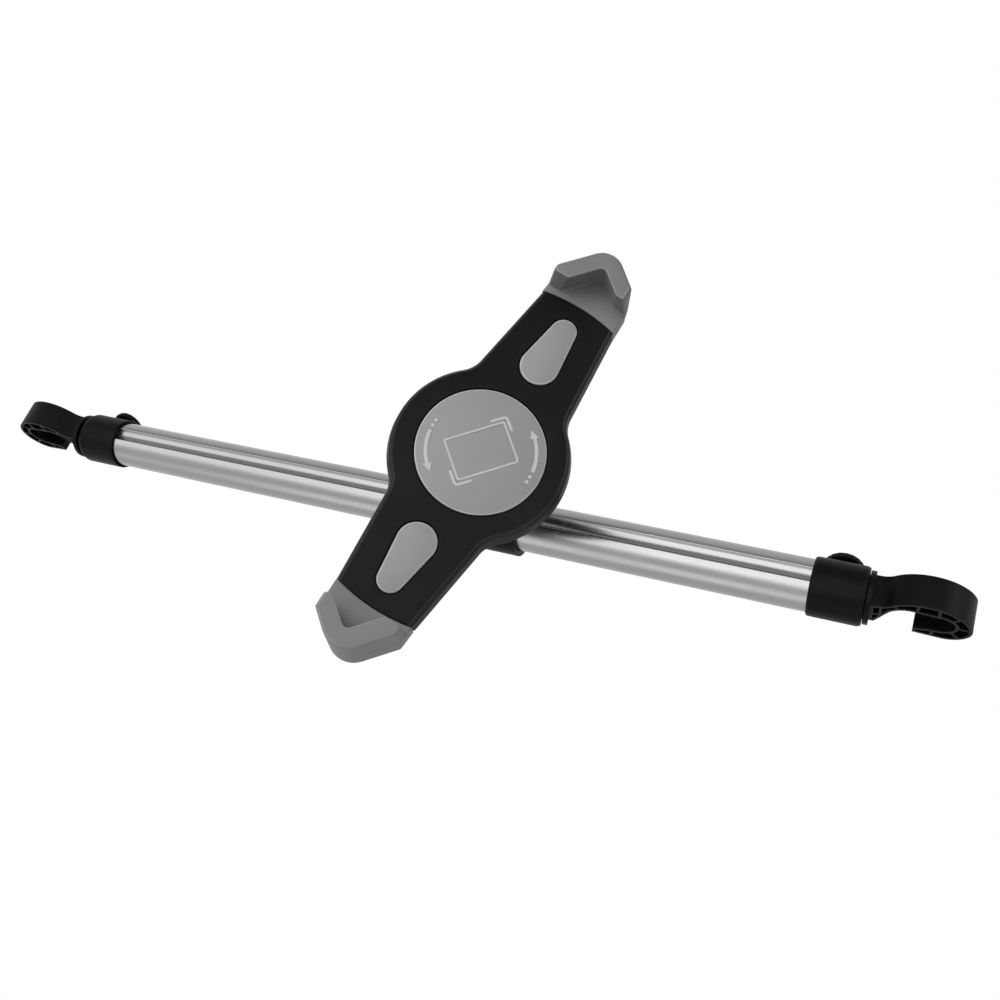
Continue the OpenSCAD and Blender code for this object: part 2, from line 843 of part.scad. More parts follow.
// The rack bar with teeth facing the pinion, from the far end to the stem
module rack_bar() {
    far = -rack_past;
    near = stem_end + 22;
    back = pitch_r + dedendum;
    slope = tan(20);
    top_half = tooth_pitch / 4 - backlash / 4 - addendum * slope;
    foot_half = tooth_pitch / 4 - backlash / 4 + dedendum * slope;
    last = ceil(6 / tooth_pitch);
    translate([0, 0, rack_low])
        linear_extrude(rack_top - rack_low) {
            translate([back, far])
                square([rack_w, near - far]);
            for (k = [ceil((far + foot_half) / tooth_pitch - 0.5) : last]) {
                v = (k + 0.5) * tooth_pitch;
                polygon([[back + e, v - foot_half], [pitch_r - addendum, v - top_half],
                    [pitch_r - addendum, v + top_half], [back + e, v + foot_half]]);
            }
        }
}

// The half-plane to the left of the line from p to q, moved in by t
module left_of(p, q, t) {
    a = atan2(q[1] - p[1], q[0] - p[0]);
    translate(p)
        rotate([0, 0, a])
            translate([-150, t])
                square([300, 300]);
}

// Stands a piece on the grip's inner corner, with its two edges along X and Y
module on_corner() {
    translate([0.5, grip_corner, 0])
        rotate([0, 0, 225 + grip_turn])
            children();
}

// The room inside the lip, whose two walls lean over it
module grip_room() {
    h = lip_top - shell_front;
    on_corner()
        translate([0, 0, shell_front])
            intersection_for(a = [0, 1])
                rotate([0, 0, 90 * a])
                    mirror([0, a, 0])
                        rotate([90, 0, 0])
                            linear_extrude(200, center = true)
                                polygon([[-lip_under, 0], [-lip_under, -1], [60, -1], [60, h + 1], [lip_under / h, h + 1]]);
}

// The grip's corner, as the region inside two edges at a right angle, moved outward by w
module corner_region(w, r) {
    on_corner() {
        translate([r - w, -w])
            square([200, 200]);
        translate([-w, r - w])
            square([200, 200]);
        translate([r - w, r - w])
            circle(r = r);
    }
}

// The jaw's outline beyond the seam, which carries on the arm's taper
module jaw_outline() {
    difference() {
        intersection() {
            left_of(line_p, line_p + line_d, 0);
            mirror([1, 0, 0])
                left_of(line_p, line_p + line_d, 0);
            corner_region(lip_w, grip_outer_r);
            translate([-60, seam_r / 2])
                square([120, 120]);
        }
        circle(r = seam_r + face_gap);
    }
}

module jaw() {
    translate([0, 0, shell_back])
        linear_extrude(shell_t)
            jaw_outline();
    // Raised lip
    difference() {
        translate([0, 0, shell_front - e])
            linear_extrude(lip_top - shell_front + e)
                intersection() {
                    jaw_outline();
                    union() {
                        translate([-lip_half, grip_corner - 12.9])
                            square([lip_half, 60]);
                        translate([-e, grip_corner - 8])
                            square([lip_half + e, 60]);
                    }
                }
        grip_room();
    }
    // Sliding stem
    translate([-stem_w / 2, stem_end, stem_low])
        cube([stem_w, stem_len + 3, stem_t]);
    rack_bar();
    // Bridge from the rack up to the stem
    translate([pitch_r + dedendum, stem_end, rack_low])
        cube([rack_w, 22, stem_top - rack_low]);
}

module upper_jaw() {
    color([0.45, 0.45, 0.46])
        on_holder()
            jaw();
}

module lower_jaw() {
    color([0.45, 0.45, 0.46])
        on_holder()
            rotate([0, 0, 180])
                jaw();
}

rail_tube();
left_collar();
right_collar();
left_insert();
right_insert();
left_hook();
right_hook();
left_knob();
right_knob();
left_clamp_screw();
right_clamp_screw();
carriage();
carriage_insert();
carriage_knob();
carriage_screw();
ball_stud();
ball_seat();
lock_ring();
back_shell();
front_shell();
disc_inlay();
upper_inlay();
lower_inlay();
pinion_axle();
pinion();
upper_jaw();
lower_jaw();
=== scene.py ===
"""Dresses the headrest tablet mount: finishes, the finer forms of bar, shell, inlays and grips, marks and stage."""
import json
from math import acos, asin, atan2, cos, degrees, pi, radians, sin, sqrt, tan
from types import SimpleNamespace

import bmesh
import bpy
from bpy.props import FloatProperty, FloatVectorProperty, PointerProperty
from bpy.types import Operator, Panel, PropertyGroup
from mathutils import Matrix, Vector


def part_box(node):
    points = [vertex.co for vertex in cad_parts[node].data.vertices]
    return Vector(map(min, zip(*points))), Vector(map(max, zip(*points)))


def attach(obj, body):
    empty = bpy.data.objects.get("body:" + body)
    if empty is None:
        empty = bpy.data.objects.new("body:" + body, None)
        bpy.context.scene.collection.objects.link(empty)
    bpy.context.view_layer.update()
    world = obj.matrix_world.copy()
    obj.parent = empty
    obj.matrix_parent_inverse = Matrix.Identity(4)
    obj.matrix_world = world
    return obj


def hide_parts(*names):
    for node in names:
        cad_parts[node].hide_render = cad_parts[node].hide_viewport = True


bl_info = {
    "name": "Headrest tablet mount",
    "version": (1, 0, 0),
    "blender": (4, 5, 0),
    "location": "View3D > Sidebar > Tablet mount",
    "description": "Finishes and small pieces for a tablet mount that clips between headrest posts",
    "category": "Object",
}

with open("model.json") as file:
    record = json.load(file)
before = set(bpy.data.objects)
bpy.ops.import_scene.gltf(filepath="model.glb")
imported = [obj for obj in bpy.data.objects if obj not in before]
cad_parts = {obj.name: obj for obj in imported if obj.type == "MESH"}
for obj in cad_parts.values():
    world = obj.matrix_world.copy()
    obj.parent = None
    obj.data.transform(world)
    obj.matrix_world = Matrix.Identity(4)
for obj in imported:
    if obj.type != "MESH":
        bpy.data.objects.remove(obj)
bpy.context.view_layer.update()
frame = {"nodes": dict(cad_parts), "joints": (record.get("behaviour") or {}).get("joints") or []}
JOINTS = {j["name"]: j for j in frame["joints"]}
MM = 0.001

# Sizes in millimetres and angles in degrees
# Bar: angles that the rounding of the groove's edges takes from the outside and from the hollow
LIP_TURN, HOLLOW_TURN = 2.4, 2.5
# Long inlays: centres and radii of the near and far end, and the near end's share of the lower arm's shortening
DROP_NEAR, DROP_FAR, DROP_NEAR_RADIUS, DROP_FAR_RADIUS, DROP_NEAR_SHARE = 50.2, 71.1, 9.2, 6.2, 0.1
# Room round the inlays in their wells, and the depth of wells and inlays
DISC_GAP, DROP_GAP, WELL_DEPTH, INLAY_DEPTH = 0.7, 0.75, 1.35, 1.25
# Half of the line between the shell's halves, and how far a cutter passes what it cuts
SPLIT, PAST = 0.06, 1
# Height of the rims that get a lighter second finish as a painted highlight: of the shell in bevels, of the grips on
# the upper and lower one
SHELL_RIM, GRIP_RIM = 1.7, (0.9, 1.4)
# Closing screws and the holes round them
SCREWS, SCREW_HOLE, SCREW_HOLE_DEPTH = [(x, y) for x in (-26, 26) for y in (-16, 16)], 2.9, 1.9

# Marks: the outline, its brackets, the arrows with heads as height over the arc and angle, the dots, a shift of all
OUTLINE_TURN, OUTLINE_ROUNDS = 51.7, (1.5, 0.8)
BRACKET_GAP, BRACKET_ARMS, BRACKET_ROUND = 2.0, (7.2, 6.8), 1.9
ARROW_SPAN, ARROW_HEAD = (10, 47.5), ((2.1, 47.0), (-0.1, 57.0), (-2.1, 47.6))
DOT_ANGLES, DOT_RADIUS, MARK_SHIFT, MARK_SINK = (4.4, -2.0), 0.85, 0.15, 0.02

# Grips: inner corner, the lip's ends along the arm, the right one's lean at its foot, and the flanks
CORNER_ASIDE, LEFT_END, RIGHT_END, RIGHT_END_LEAN = 0.5, 87.6, 92.2, 2.4
FLANK_ROOT, FLANK_SLOPE, LEFT_DRAFT = 84.0, 0.041, 0.75
# The right wall's share of the spread, the pad's flare at the back, its gap at the seam, the lip's depth in it
RIGHT_SPREAD, PAD_FLARE, SEAM_GAP, LIP_FOOT = 0.3, 0.5, 0.3, 0.5
# Roundings of the lip's corners in plan, of which the sixth is the outer one of the upper and the lower grip
LIP_ROUNDS, OUTER_ROUNDS = (1.4, 2.8, 1.7, 1.6, 1.6, None, 2.2, 1.4), (9.6, 11.5)
# The lower grip's share of the edge rounding, and the fillet at the lip's foot
LOWER_EDGE_SHARE, FILLET_REACH, FILLET_HEIGHT = 0.6, 0.3, 0.35
# Where the copied stem is cut, and how far it is drawn on into the pad
STEM_CUT, STEM_INTO_PAD = 83.3, 4.0
CORNER_STEPS = 8
# A face slopes when its normal lies between the first two, and looks inwards beyond the third
WALL_SLANT, FLAT_SLANT, INNER_SLANT = 0.12, 0.985, 0.6
DUST, WHITE = (0.3, 0.29, 0.28), (1, 1, 1, 1)
SQUARE = ((-1, -1), (1, -1), (1, 1), (-1, 1))


def holder_axes():
    """The holder's own axes at rest: x across the arms, y along them, z out of the face, from the ball's centre."""
    z = Vector(JOINTS["ball_turn"]["axis"])
    y = Vector(JOINTS["upper_jaw_travel"]["axis"])
    x = y.cross(z)
    m = Matrix((x, y, z)).transposed().to_4x4()
    m.translation = Vector(JOINTS["ball_turn"]["pos_m"])
    return m


HOLDER = holder_axes()


def colour(name, text, value):
    return FloatVectorProperty(name=name, description=text, subtype="COLOR", size=3, min=0.0, max=1.0, default=value)


def length(name, text, value):
    return FloatProperty(name=name, description=text, subtype="DISTANCE", unit="LENGTH", min=0.0, default=value,
                         precision=5)


def share(name, text, value):
    return FloatProperty(name=name, description=text, subtype="FACTOR", min=0.0, max=1.0, default=value)


def power(name, text, value):
    return FloatProperty(name=name, description=text, subtype="POWER", default=value)


class MountFinishes(PropertyGroup):
    """Colours and gloss of the moulded and metal pieces."""

    tube_colour: colour("Bar", "Anodised aluminium of the bar", (0.29, 0.29, 0.293))
    tube_roughness: share("Bar roughness", "Roughness of the anodised bar", 0.26)
    nylon_colour: colour("Nylon", "Collars, hooks, knobs and carriage", (0.0014, 0.0014, 0.0015))
    nylon_roughness: share("Nylon roughness", "Roughness of the black nylon", 0.42)
    shell_colour: colour("Shell", "Black holder shell", (0.0027, 0.0027, 0.0028))
    shell_roughness: share("Shell roughness", "Roughness of the holder shell", 0.4)
    inlay_colour: colour("Inlays", "Grey inlays in the hub and arms", (0.27, 0.27, 0.275))
    mark_colour: colour("Marks", "Raised marks on the round inlay", (0.425, 0.425, 0.43))
    grip_colour: colour("Grips", "Corner grips and their stems", (0.17, 0.17, 0.175))
    # The three rim colours are lighter than their pieces, as painted highlights on bevels and edges
    shell_rim_colour: colour("Shell rim highlight", "Bevel round the holder's shell", (0.006, 0.006, 0.0062))
    inlay_rim_colour: colour("Inlay rim", "Bevel round the inlays", (0.46, 0.46, 0.465))
    grip_rim_colour: colour("Grip rim", "Rounded inner edge of the grips' lips", (0.22, 0.22, 0.225))
    brass_colour: colour("Brass", "Threaded inserts", (0.72, 0.55, 0.28))
    steel_colour: colour("Steel", "Screws, axle and ball stud", (0.58, 0.58, 0.6))
    acetal_colour: colour("Acetal", "Ball liner and pinion", (0.78, 0.77, 0.72))


class MountBar(PropertyGroup):
    """Form of the bar."""

    radius: length("Radius", "Outer radius of the bar", 0.0125)
    wall: length("Wall", "Wall of the bar", 0.0015)
    groove: length("Groove", "Width of the groove", 0.007)
    groove_round: length("Groove rounding", "Radius of the groove's hollow", 0.0044)


class MountShell(PropertyGroup):
    """Form of the holder's shell, as on the solids but for the flare and the shorter lower arm."""

    hub_radius: length("Hub radius", "Radius of the round hub", 0.041)
    seam_radius: length("Seam radius", "Radius of the seam between arm and grip", 0.0855)
    arm_tip_half: length("Arm tip half width", "Half width of an arm at the seam", 0.0192)
    arm_root_half: length("Arm root half width", "Half width of an arm at its root", 0.0243)
    arm_root: length("Arm root", "Distance of the arm's root from the middle", 0.038)
    neck_fillet: length("Neck fillet", "Radius between hub and arm", 0.014)
    face: length("Face", "Distance of the shell's face from the ball's centre", 0.0247)
    depth: length("Depth", "Depth of the closed shell", 0.0125)
    parting: length("Parting line", "Height of the line between the halves over the back face", 0.0059)
    bevel: length("Rim bevel", "Bevel round the rims", 0.0015)
    flare: length("Flare", "Distance by which the side walls flare towards the parting line", 0.001)
    lower_short: length("Lower arm", "Distance by which the lower arm ends and its grip sit further in", 0.0013)
    wall: length("Wall", "Side wall", 0.002)
    front_wall: length("Front wall", "Front wall", 0.003)
    back_wall: length("Back wall", "Back wall", 0.002)


class MountGrips(PropertyGroup):
    """Form of the corner grips."""

    corner: length("Corner", "Distance of the inner corner from the middle", 0.1005)
    corner_turn: FloatProperty(name="Corner turn", description="Turn of the corner off the arm's line",
                               subtype="ANGLE", default=radians(6.5))
    lip_width: length("Lip width", "Width of the lip across its top", 0.0086)
    lip_height: length("Lip height", "Height of the lip over the face", 0.0168)
    lip_round: length("Outer rounding", "Rounding of the lip's outer edge", 0.0022)
    inner_round: length("Inner rounding", "Rounding of the lip's inner edge", 0.0007)
    edge_round: length("Edge rounding", "Rounding of the flat part's edges", 0.0005)
    right_shift: length("Right wall", "Distance by which the right wall stands further out", 0.0011)
    half_width: length("Half width", "Half width of the flat part at the seam", 0.0195)
    lean: length("Lean", "Distance by which the walls lean over the room", 0.0022)
    draft: length("Draft", "Distance by which the flanks draw in towards the top", 0.0021)
    lower_spread: length("Lower spread", "Distance by which the lower grip's outer walls stand out at the face", 0.0012)
    lower_spread_back: length("Lower spread at the back", "The same at the back", 0.0021)
    upper_draw: length("Upper draw", "Distance by which the upper grip's outer walls draw in at the back", 0.0011)


class MountMarks(PropertyGroup):
    """Raised generic marks on the round inlay."""

    relief: length("Relief", "Height of the marks over the inlay", 0.00025)
    face: length("Inlay face", "Distance of the inlay's face from the ball's centre", 0.025)
    disc_radius: length("Disc radius", "Radius of the round inlay", 0.0298)
    rim: length("Rim bevel", "Bevel round the inlays", 0.0006)
    aside: length("Aside", "Offset of the round inlay and its marks across the arms", 0.0002)
    along: length("Along", "Offset of the round inlay and its marks along the arms", 0.0005)
    slate_long: length("Outline length", "Long side of the tablet outline", 0.0283)
    slate_short: length("Outline width", "Short side of the tablet outline", 0.0198)
    line: length("Line width", "Width of the outline's line", 0.0009)
    bracket_line: length("Bracket width", "Width of the corner brackets", 0.00125)
    arrow_line: length("Arrow width", "Width of the bent arrows", 0.0017)
    arrow_radius: length("Arrow radius", "Radius on which the bent arrows lie", 0.0249)


class MountStage(PropertyGroup):
    """Light, floor and camera."""

    key_power: power("Key light", "Power of the large front light", 12.5)
    top_power: power("Top light", "Power of the overhead light", 3.0)
    strip_power: share("Strip", "Power of the strips that the metal mirrors, as a factor", 1.0)
    card: share("Card", "Brightness of the card that the metal mirrors", 0.5)
    ambient: share("Ambient", "Strength of the even surrounding light", 0.28)
    floor_drop: length("Floor", "Distance of the floor below the middle", 0.42)
    lens: FloatProperty(name="Lens", description="Focal length of the camera", subtype="DISTANCE_CAMERA",
                        default=38.87)


def in_mm(name):
    """The values of one settings group, with its lengths in millimetres."""
    group = getattr(bpy.context.scene, "mount_" + name)
    units = {k: MM if group.bl_rna.properties[k].unit == "LENGTH" else 1 for k in group.__annotations__}
    return SimpleNamespace(**{k: getattr(group, k) / unit for k, unit in units.items()})


def new_group(name, inputs, **outputs):
    """An empty shader group with float inputs and typed outputs."""
    g = bpy.data.node_groups.new(name, "ShaderNodeTree")
    for label, value in inputs.items():
        g.interface.new_socket(name=label, in_out="INPUT", socket_type="NodeSocketFloat").default_value = value
    for label, kind in outputs.items():
        g.interface.new_socket(name=label, in_out="OUTPUT", socket_type="NodeSocket" + kind)
    return g, add(g, "NodeGroupInput"), add(g, "NodeGroupOutput")


def add(tree, kind, **settings):
    """A new node with its settings, in the next free place of a grid."""
    row, column = divmod(len(tree.nodes), 6)
    n = tree.nodes.new(kind if kind.startswith("NodeGroup") else "ShaderNode" + kind)
    n.location = (220 * column, -320 * row)
    for k, v in settings.items():
        setattr(n, k, v)
    return n


def link(source, target):
    source.id_data.links.new(source, target)


def fill(node, **inputs):
    """Sets a node's inputs by name, in which an underscore stands for a space."""
    for k, v in inputs.items():
        node.inputs[k.replace("_", " ")].default_value = v
    return node


def sums(tree, kind, a, b, clamp=False):
    """A math node fed by sockets or numbers."""
    n = add(tree, "Math", operation=kind, use_clamp=clamp)
    for i, v in enumerate((a, b)):
        if isinstance(v, (int, float)):
            n.inputs[i].default_value = v
        else:
            link(v, n.inputs[i])
    return n.outputs[0]


def times(tree, a, b, clamp=False):
    return sums(tree, "MULTIPLY", a, b, clamp)


def mix_shaders(tree, fac, a, b):
    n = add(tree, "MixShader")
    for i, source in enumerate((fac, a, b)):
        link(source, n.inputs[i])
    return n.outputs[0]


def group_rounded_edges():
    """Softens the normal along edges and finds the edges themselves."""
    g, i, o = new_group("Rounded Edges", {"Radius": 0.0004}, Normal="Vector", Edge="Float")
    b = add(g, "Bevel", samples=6)
    geo = add(g, "NewGeometry")
    dot = add(g, "VectorMath", operation="DOT_PRODUCT")
    link(i.outputs["Radius"], b.inputs["Radius"])
    link(b.outputs["Normal"], dot.inputs[0])
    link(geo.outputs["Normal"], dot.inputs[1])
    left = sums(g, "SUBTRACT", 1.0, dot.outputs["Value"])
    link(times(g, left, 5.0, True), o.inputs["Edge"])
    link(b.outputs["Normal"], o.inputs["Normal"])
    return g


def group_moulded_grain():
    """Fine spark-eroded grain of a moulding, with a broad slow variation."""
    g, i, o = new_group("Moulded Grain", {"Size": 1500.0, "Broad": 40.0}, Height="Float", Cloud="Float")
    tc = add(g, "TexCoord")
    fine = fill(add(g, "TexNoise"), Detail=3.0, Roughness=0.62)
    pits = add(g, "TexVoronoi")
    cloud = fill(add(g, "TexNoise"), Detail=4.0)
    for n in (fine, pits, cloud):
        link(tc.outputs["Object"], n.inputs["Vector"])
    link(i.outputs["Size"], fine.inputs["Scale"])
    link(times(g, i.outputs["Size"], 0.55), pits.inputs["Scale"])
    link(i.outputs["Broad"], cloud.inputs["Scale"])
    both = sums(g, "ADD", times(g, fine.outputs["Fac"], 0.7), times(g, pits.outputs["Distance"], 0.3))
    link(both, o.inputs["Height"])
    link(cloud.outputs["Fac"], o.inputs["Cloud"])
    return g


def group_drawn_lines():
    """Fine lines along X, as on drawn or brushed metal, with longer streaks."""
    g, i, o = new_group("Drawn Lines", {"Lines": 2600.0, "Along": 4.0}, Height="Float", Streak="Float")
    tc = add(g, "TexCoord")
    parts = add(g, "SeparateXYZ")
    link(tc.outputs["Object"], parts.inputs[0])
    for across, label in ((1.0, "Height"), (0.12, "Streak")):
        vec = add(g, "CombineXYZ")
        link(times(g, parts.outputs["X"], i.outputs["Along"]), vec.inputs["X"])
        side = times(g, i.outputs["Lines"], across)
        for ax in ("Y", "Z"):
            link(times(g, parts.outputs[ax], side), vec.inputs[ax])
        n = fill(add(g, "TexNoise"), Scale=1.0, Detail=3.0)
        link(vec.outputs[0], n.inputs["Vector"])
        link(n.outputs["Fac"], o.inputs[label])
    return g


def group_handling():
    """Faint smudges and specks of dust that handling leaves."""
    g, i, o = new_group("Handling", {"Amount": 0.3}, Smudge="Float", Dust="Float")
    tc = add(g, "TexCoord")
    big = fill(add(g, "TexNoise"), Scale=55.0, Detail=5.0, Distortion=0.6)
    speck = fill(add(g, "TexNoise"), Scale=900.0, Detail=1.0)
    for noise, label, least, gain in ((big, "Smudge", 0.52, 6.0), (speck, "Dust", 0.72, 9.0)):
        link(tc.outputs["Object"], noise.inputs["Vector"])
        over = sums(g, "SUBTRACT", noise.outputs["Fac"], least, True)
        over = times(g, over, gain, True)
        link(times(g, over, i.outputs["Amount"]), o.inputs[label])
    return g


def place_group(tree, name, **inputs):
    """Places the shader group of that name, built on first use, with its inputs."""
    makers = {"Rounded Edges": group_rounded_edges, "Moulded Grain": group_moulded_grain,
              "Drawn Lines": group_drawn_lines, "Handling": group_handling}
    group = bpy.data.node_groups.get(name) or makers[name]()
    return fill(add(tree, "Group", node_tree=group), **inputs)


def mix_colour(tree, fac, a, b):
    """Mixes sockets or colours; inputs 6 and 7 are A and B, and output 2 the result."""
    n = add(tree, "Mix", data_type="RGBA")
    link(fac, n.inputs["Factor"])
    for key, v in ((6, a), (7, b)):
        if isinstance(v, (tuple, list)):
            n.inputs[key].default_value = (*v, 1.0)
        else:
            link(v, n.inputs[key])
    return n.outputs[2]


def new_material(name):
    """A material with its node tree and shader."""
    m = bpy.data.materials.new(name)
    m.use_nodes = True
    return m, m.node_tree, m.node_tree.nodes["Principled BSDF"]


def material(name, base, rough, depth=0.00001, edge_wear_and_highlight=0.3, lighter=1.2, edge=0.0001, smudge=0.1, grain=None, lines=None,
             metal=0.0, specular=0.5):
    """One finish: colour with edges lightened by use and as a painted highlight, roughness with smudges, and grain or
    drawn lines as relief.
    """
    if name in bpy.data.materials:
        return bpy.data.materials[name]
    m, t, bsdf = new_material(name)
    m.diffuse_color = (*base, 1.0)
    rim = place_group(t, "Rounded Edges", Radius=edge)
    hand = place_group(t, "Handling", Amount=smudge)
    worn_and_highlit = [min(1.0, c * lighter + 0.01) for c in base]
    # Edges lighten towards the lighter colour, partly from use and partly as a painted highlight
    col = mix_colour(t, times(t, rim.outputs["Edge"], edge_wear_and_highlight), base, worn_and_highlit)
    if lines:
        fine = place_group(t, "Drawn Lines", Lines=lines)
        cloud = fine.outputs["Streak"]
    else:
        fine = place_group(t, "Moulded Grain", Size=grain)
        cloud = fine.outputs["Cloud"]
    shade = times(t, sums(t, "SUBTRACT", cloud, 0.5), 0.5, True)
    col = mix_colour(t, shade, col, worn_and_highlit)
    col = mix_colour(t, times(t, hand.outputs["Dust"], 0.12), col, DUST)
    link(col, bsdf.inputs["Base Color"])
    r = sums(t, "ADD", rough - 0.04, times(t, cloud, 0.1))
    r = sums(t, "ADD", r, times(t, hand.outputs["Smudge"], 0.25), True)
    link(r, bsdf.inputs["Roughness"])
    bump = fill(add(t, "Bump"), Distance=depth, Strength=0.6)
    link(fine.outputs["Height"], bump.inputs["Height"])
    link(rim.outputs["Normal"], bump.inputs["Normal"])
    link(bump.outputs["Normal"], bsdf.inputs["Normal"])
    fill(bsdf, Metallic=metal, Specular_IOR_Level=specular)
    return m


# Name, colour, roughness and settings of each finish; words name what the panel holds
# The edge settings lighten edges partly from use and partly as a painted highlight, most strongly on the shell and
# inlays
FINISHES = {
    "bar": ("Satin aluminium", "tube_colour", "tube_roughness", dict(metal=1.0, lines=2600.0, depth=0.000012,
        edge_wear_and_highlight=0.4, edge=0.00025, smudge=0.2)),
    "nylon": ("Black nylon", "nylon_colour", "nylon_roughness", dict(grain=1300.0, depth=0.00003, edge_wear_and_highlight=0.2,
        lighter=3.2, edge=0.0006, smudge=0.2, specular=0.07)),
    "shell": ("Black cover", "shell_colour", "shell_roughness", dict(grain=1900.0, depth=0.00002, edge_wear_and_highlight=0.5,
        lighter=5.0, edge=0.0009, smudge=0.2, specular=0.07)),
    "inlay": ("Grey inlay", "inlay_colour", 0.55, dict(grain=2200.0, depth=0.000015, edge_wear_and_highlight=1.0, lighter=1.6,
        edge=0.0006, specular=0.2)),
    "shell_rim_highlight": ("Cover rim", "shell_rim_colour", 0.3, dict(grain=1900.0, lighter=1.5, edge=0.0003, specular=0.16)),
    "inlay_rim": ("Inlay rim", "inlay_rim_colour", 0.45, dict(grain=2200.0, edge=0.0002, specular=0.3)),
    "grip_rim": ("Grip rim", "grip_rim_colour", 0.42, dict(grain=1700.0, lighter=1.3, edge=0.0003, specular=0.3)),
    "mark": ("Raised mark", "mark_colour", 0.45, dict(grain=2600.0, edge=0.00008)),
    "grip": ("Grey grip", "grip_colour", 0.5, dict(grain=1700.0, depth=0.00002, edge_wear_and_highlight=0.35, lighter=1.5,
        edge=0.0005, smudge=0.15, specular=0.2)),
    "brass": ("Turned brass", "brass_colour", 0.3, dict(metal=1.0, lines=3000.0, smudge=0.2)),
    "steel": ("Turned steel", "steel_colour", 0.28, dict(metal=1.0, lines=3000.0, lighter=1.3, smudge=0.2)),
    "ball": ("Polished ball", "steel_colour", 0.12, dict(metal=1.0, lines=1800.0, depth=0.000004, edge_wear_and_highlight=0.2,
        smudge=0.15)),
    "acetal": ("Natural acetal", "acetal_colour", 0.4, dict(grain=1600.0, edge_wear_and_highlight=0.2, lighter=1.1)),
}


def finish(kind):
    """The finish of that name, with the colours and gloss set in the panel."""
    f = bpy.context.scene.mount_finishes
    name, base, rough, settings = FINISHES[kind]
    return material(name, tuple(getattr(f, base)), getattr(f, rough) if isinstance(rough, str) else rough, **settings)


def dress(kind, *names):
    """Gives carried-over nodes a finish."""
    for n in names:
        mesh = frame["nodes"][n].data
        mesh.materials.clear()
        mesh.materials.append(finish(kind))


def new_object(name, data):
    o = bpy.data.objects.new(name, data)
    bpy.context.scene.collection.objects.link(o)
    return o


def to_object(name, bm, kind=None, body=None, place=None, sharp=30.0):
    """Turns mesh data in millimetres into a finished piece on its body, or a bare object without one."""
    bmesh.ops.remove_doubles(bm, verts=bm.verts, dist=1e-5)
    bmesh.ops.recalc_face_normals(bm, faces=bm.faces)
    bmesh.ops.scale(bm, vec=(MM, MM, MM), verts=bm.verts)
    bmesh.ops.transform(bm, matrix=place or HOLDER, verts=bm.verts)
    mesh = bpy.data.meshes.new(name)
    bm.to_mesh(mesh)
    bm.free()
    mesh.shade_smooth()
    mesh.set_sharp_from_angle(angle=radians(sharp))
    o = new_object(name, mesh)
    if body:
        mesh.materials.append(finish(kind))
        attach(o, body)
    return o


def paint_rim_highlight(piece, kind, low, high, turn=0.0, test=None):
    """Paints a highlight: gives a lighter second finish to the sloping faces between two heights over the ball's
    centre.
    """
    mesh = piece.data
    mesh.materials.append(finish(kind))
    inv = (HOLDER @ Matrix.Rotation(turn, 4, "Z")).inverted()
    spin = inv.to_3x3()
    for face in mesh.polygons:
        c, n = (inv @ face.center) / MM, spin @ face.normal
        if low <= c.z <= high and WALL_SLANT < abs(n.z) < FLAT_SLANT and (test is None or test(c, n)):
            face.material_index = 1


def bearing(x, y):
    return degrees(atan2(y, x))


def arc(cx, cy, r, a0, a1, n, first=0):
    """Points of an arc, angles in degrees."""
    angles = [radians(a0 + (a1 - a0) * i / n) for i in range(first, n + 1)]
    return [(cx + r * cos(a), cy + r * sin(a)) for a in angles]


def ring(cx, cy, r, n):
    """Points of a full circle."""
    return arc(cx, cy, r, 0, 360, n)[:-1]


def bend(start, corner, end, n=4):
    """Points of a rounded corner, without its two ends."""
    a, b, c = Vector(start), Vector(corner), Vector(end)
    return [tuple((1 - f) ** 2 * a + 2 * f * (1 - f) * b + f * f * c) for f in (i / n for i in range(1, n))]


def shell_outline(t, r):
    """The shell's outline in millimetres, drawn in by t and ended at radius r."""
    s = in_mm("shell")
    hub, fil = s.hub_radius, s.neck_fillet
    p, q = Vector((s.arm_root_half, s.arm_root)), Vector((s.arm_tip_half, s.seam_radius))
    along = (q - p).normalized()
    out = Vector((along.y, -along.x))
    k = p.dot(out) + fil
    c = k * out + sqrt((hub + fil) ** 2 - k ** 2) * along
    a = bearing(c.x, c.y)
    e = p - t * out
    d = e.dot(along)

    def quarter(r):
        tip = e + (sqrt(d * d - e.dot(e) + r * r) - d) * along
        side = arc(c.x, c.y, fil + t, a + 180, bearing(-out.x, -out.y) + 360, 20, 1)
        return arc(0, 0, hub - t, 0, a, 40) + side + arc(0, 0, r, bearing(tip.x, tip.y), 90, 12)

    up, low = quarter(r), quarter(r - s.lower_short)
    return (up + [(-x, y) for x, y in reversed(up[:-1])] + [(-x, -y) for x, y in low[1:]]
            + [(x, -y) for x, y in reversed(low[1:-1])])


def drop_outline(g, side=1):
    """The long inlay's outline, grown by g, on the upper or lower arm."""
    near, far, r1, r2 = DROP_NEAR, DROP_FAR, DROP_NEAR_RADIUS, DROP_FAR_RADIUS
    if side < 0:
        short = in_mm("shell").lower_short
        near, far = near - DROP_NEAR_SHARE * short, far - short
    b = degrees(asin((r1 - r2) / (far - near)))
    pts = arc(0, near, r1 + g, 180 - b, 360 + b, 48) + arc(0, far, r2 + g, b, 180 - b, 36)
    return [(side * x, side * y) for x, y in pts]


def band(bm, a, b):
    """Joins two closed runs of corners by faces."""
    n = len(a)
    for i in range(n):
        bm.faces.new((a[i], a[(i + 1) % n], b[(i + 1) % n], b[i]))


def fill_between(bm, loops):
    """Fills the flat area between closed runs of corners."""
    edges = [bm.edges.get((v[i], v[(i + 1) % len(v)])) for v in loops for i in range(len(v))]
    bmesh.ops.triangle_fill(bm, use_beauty=True, use_dissolve=False, edges=edges)


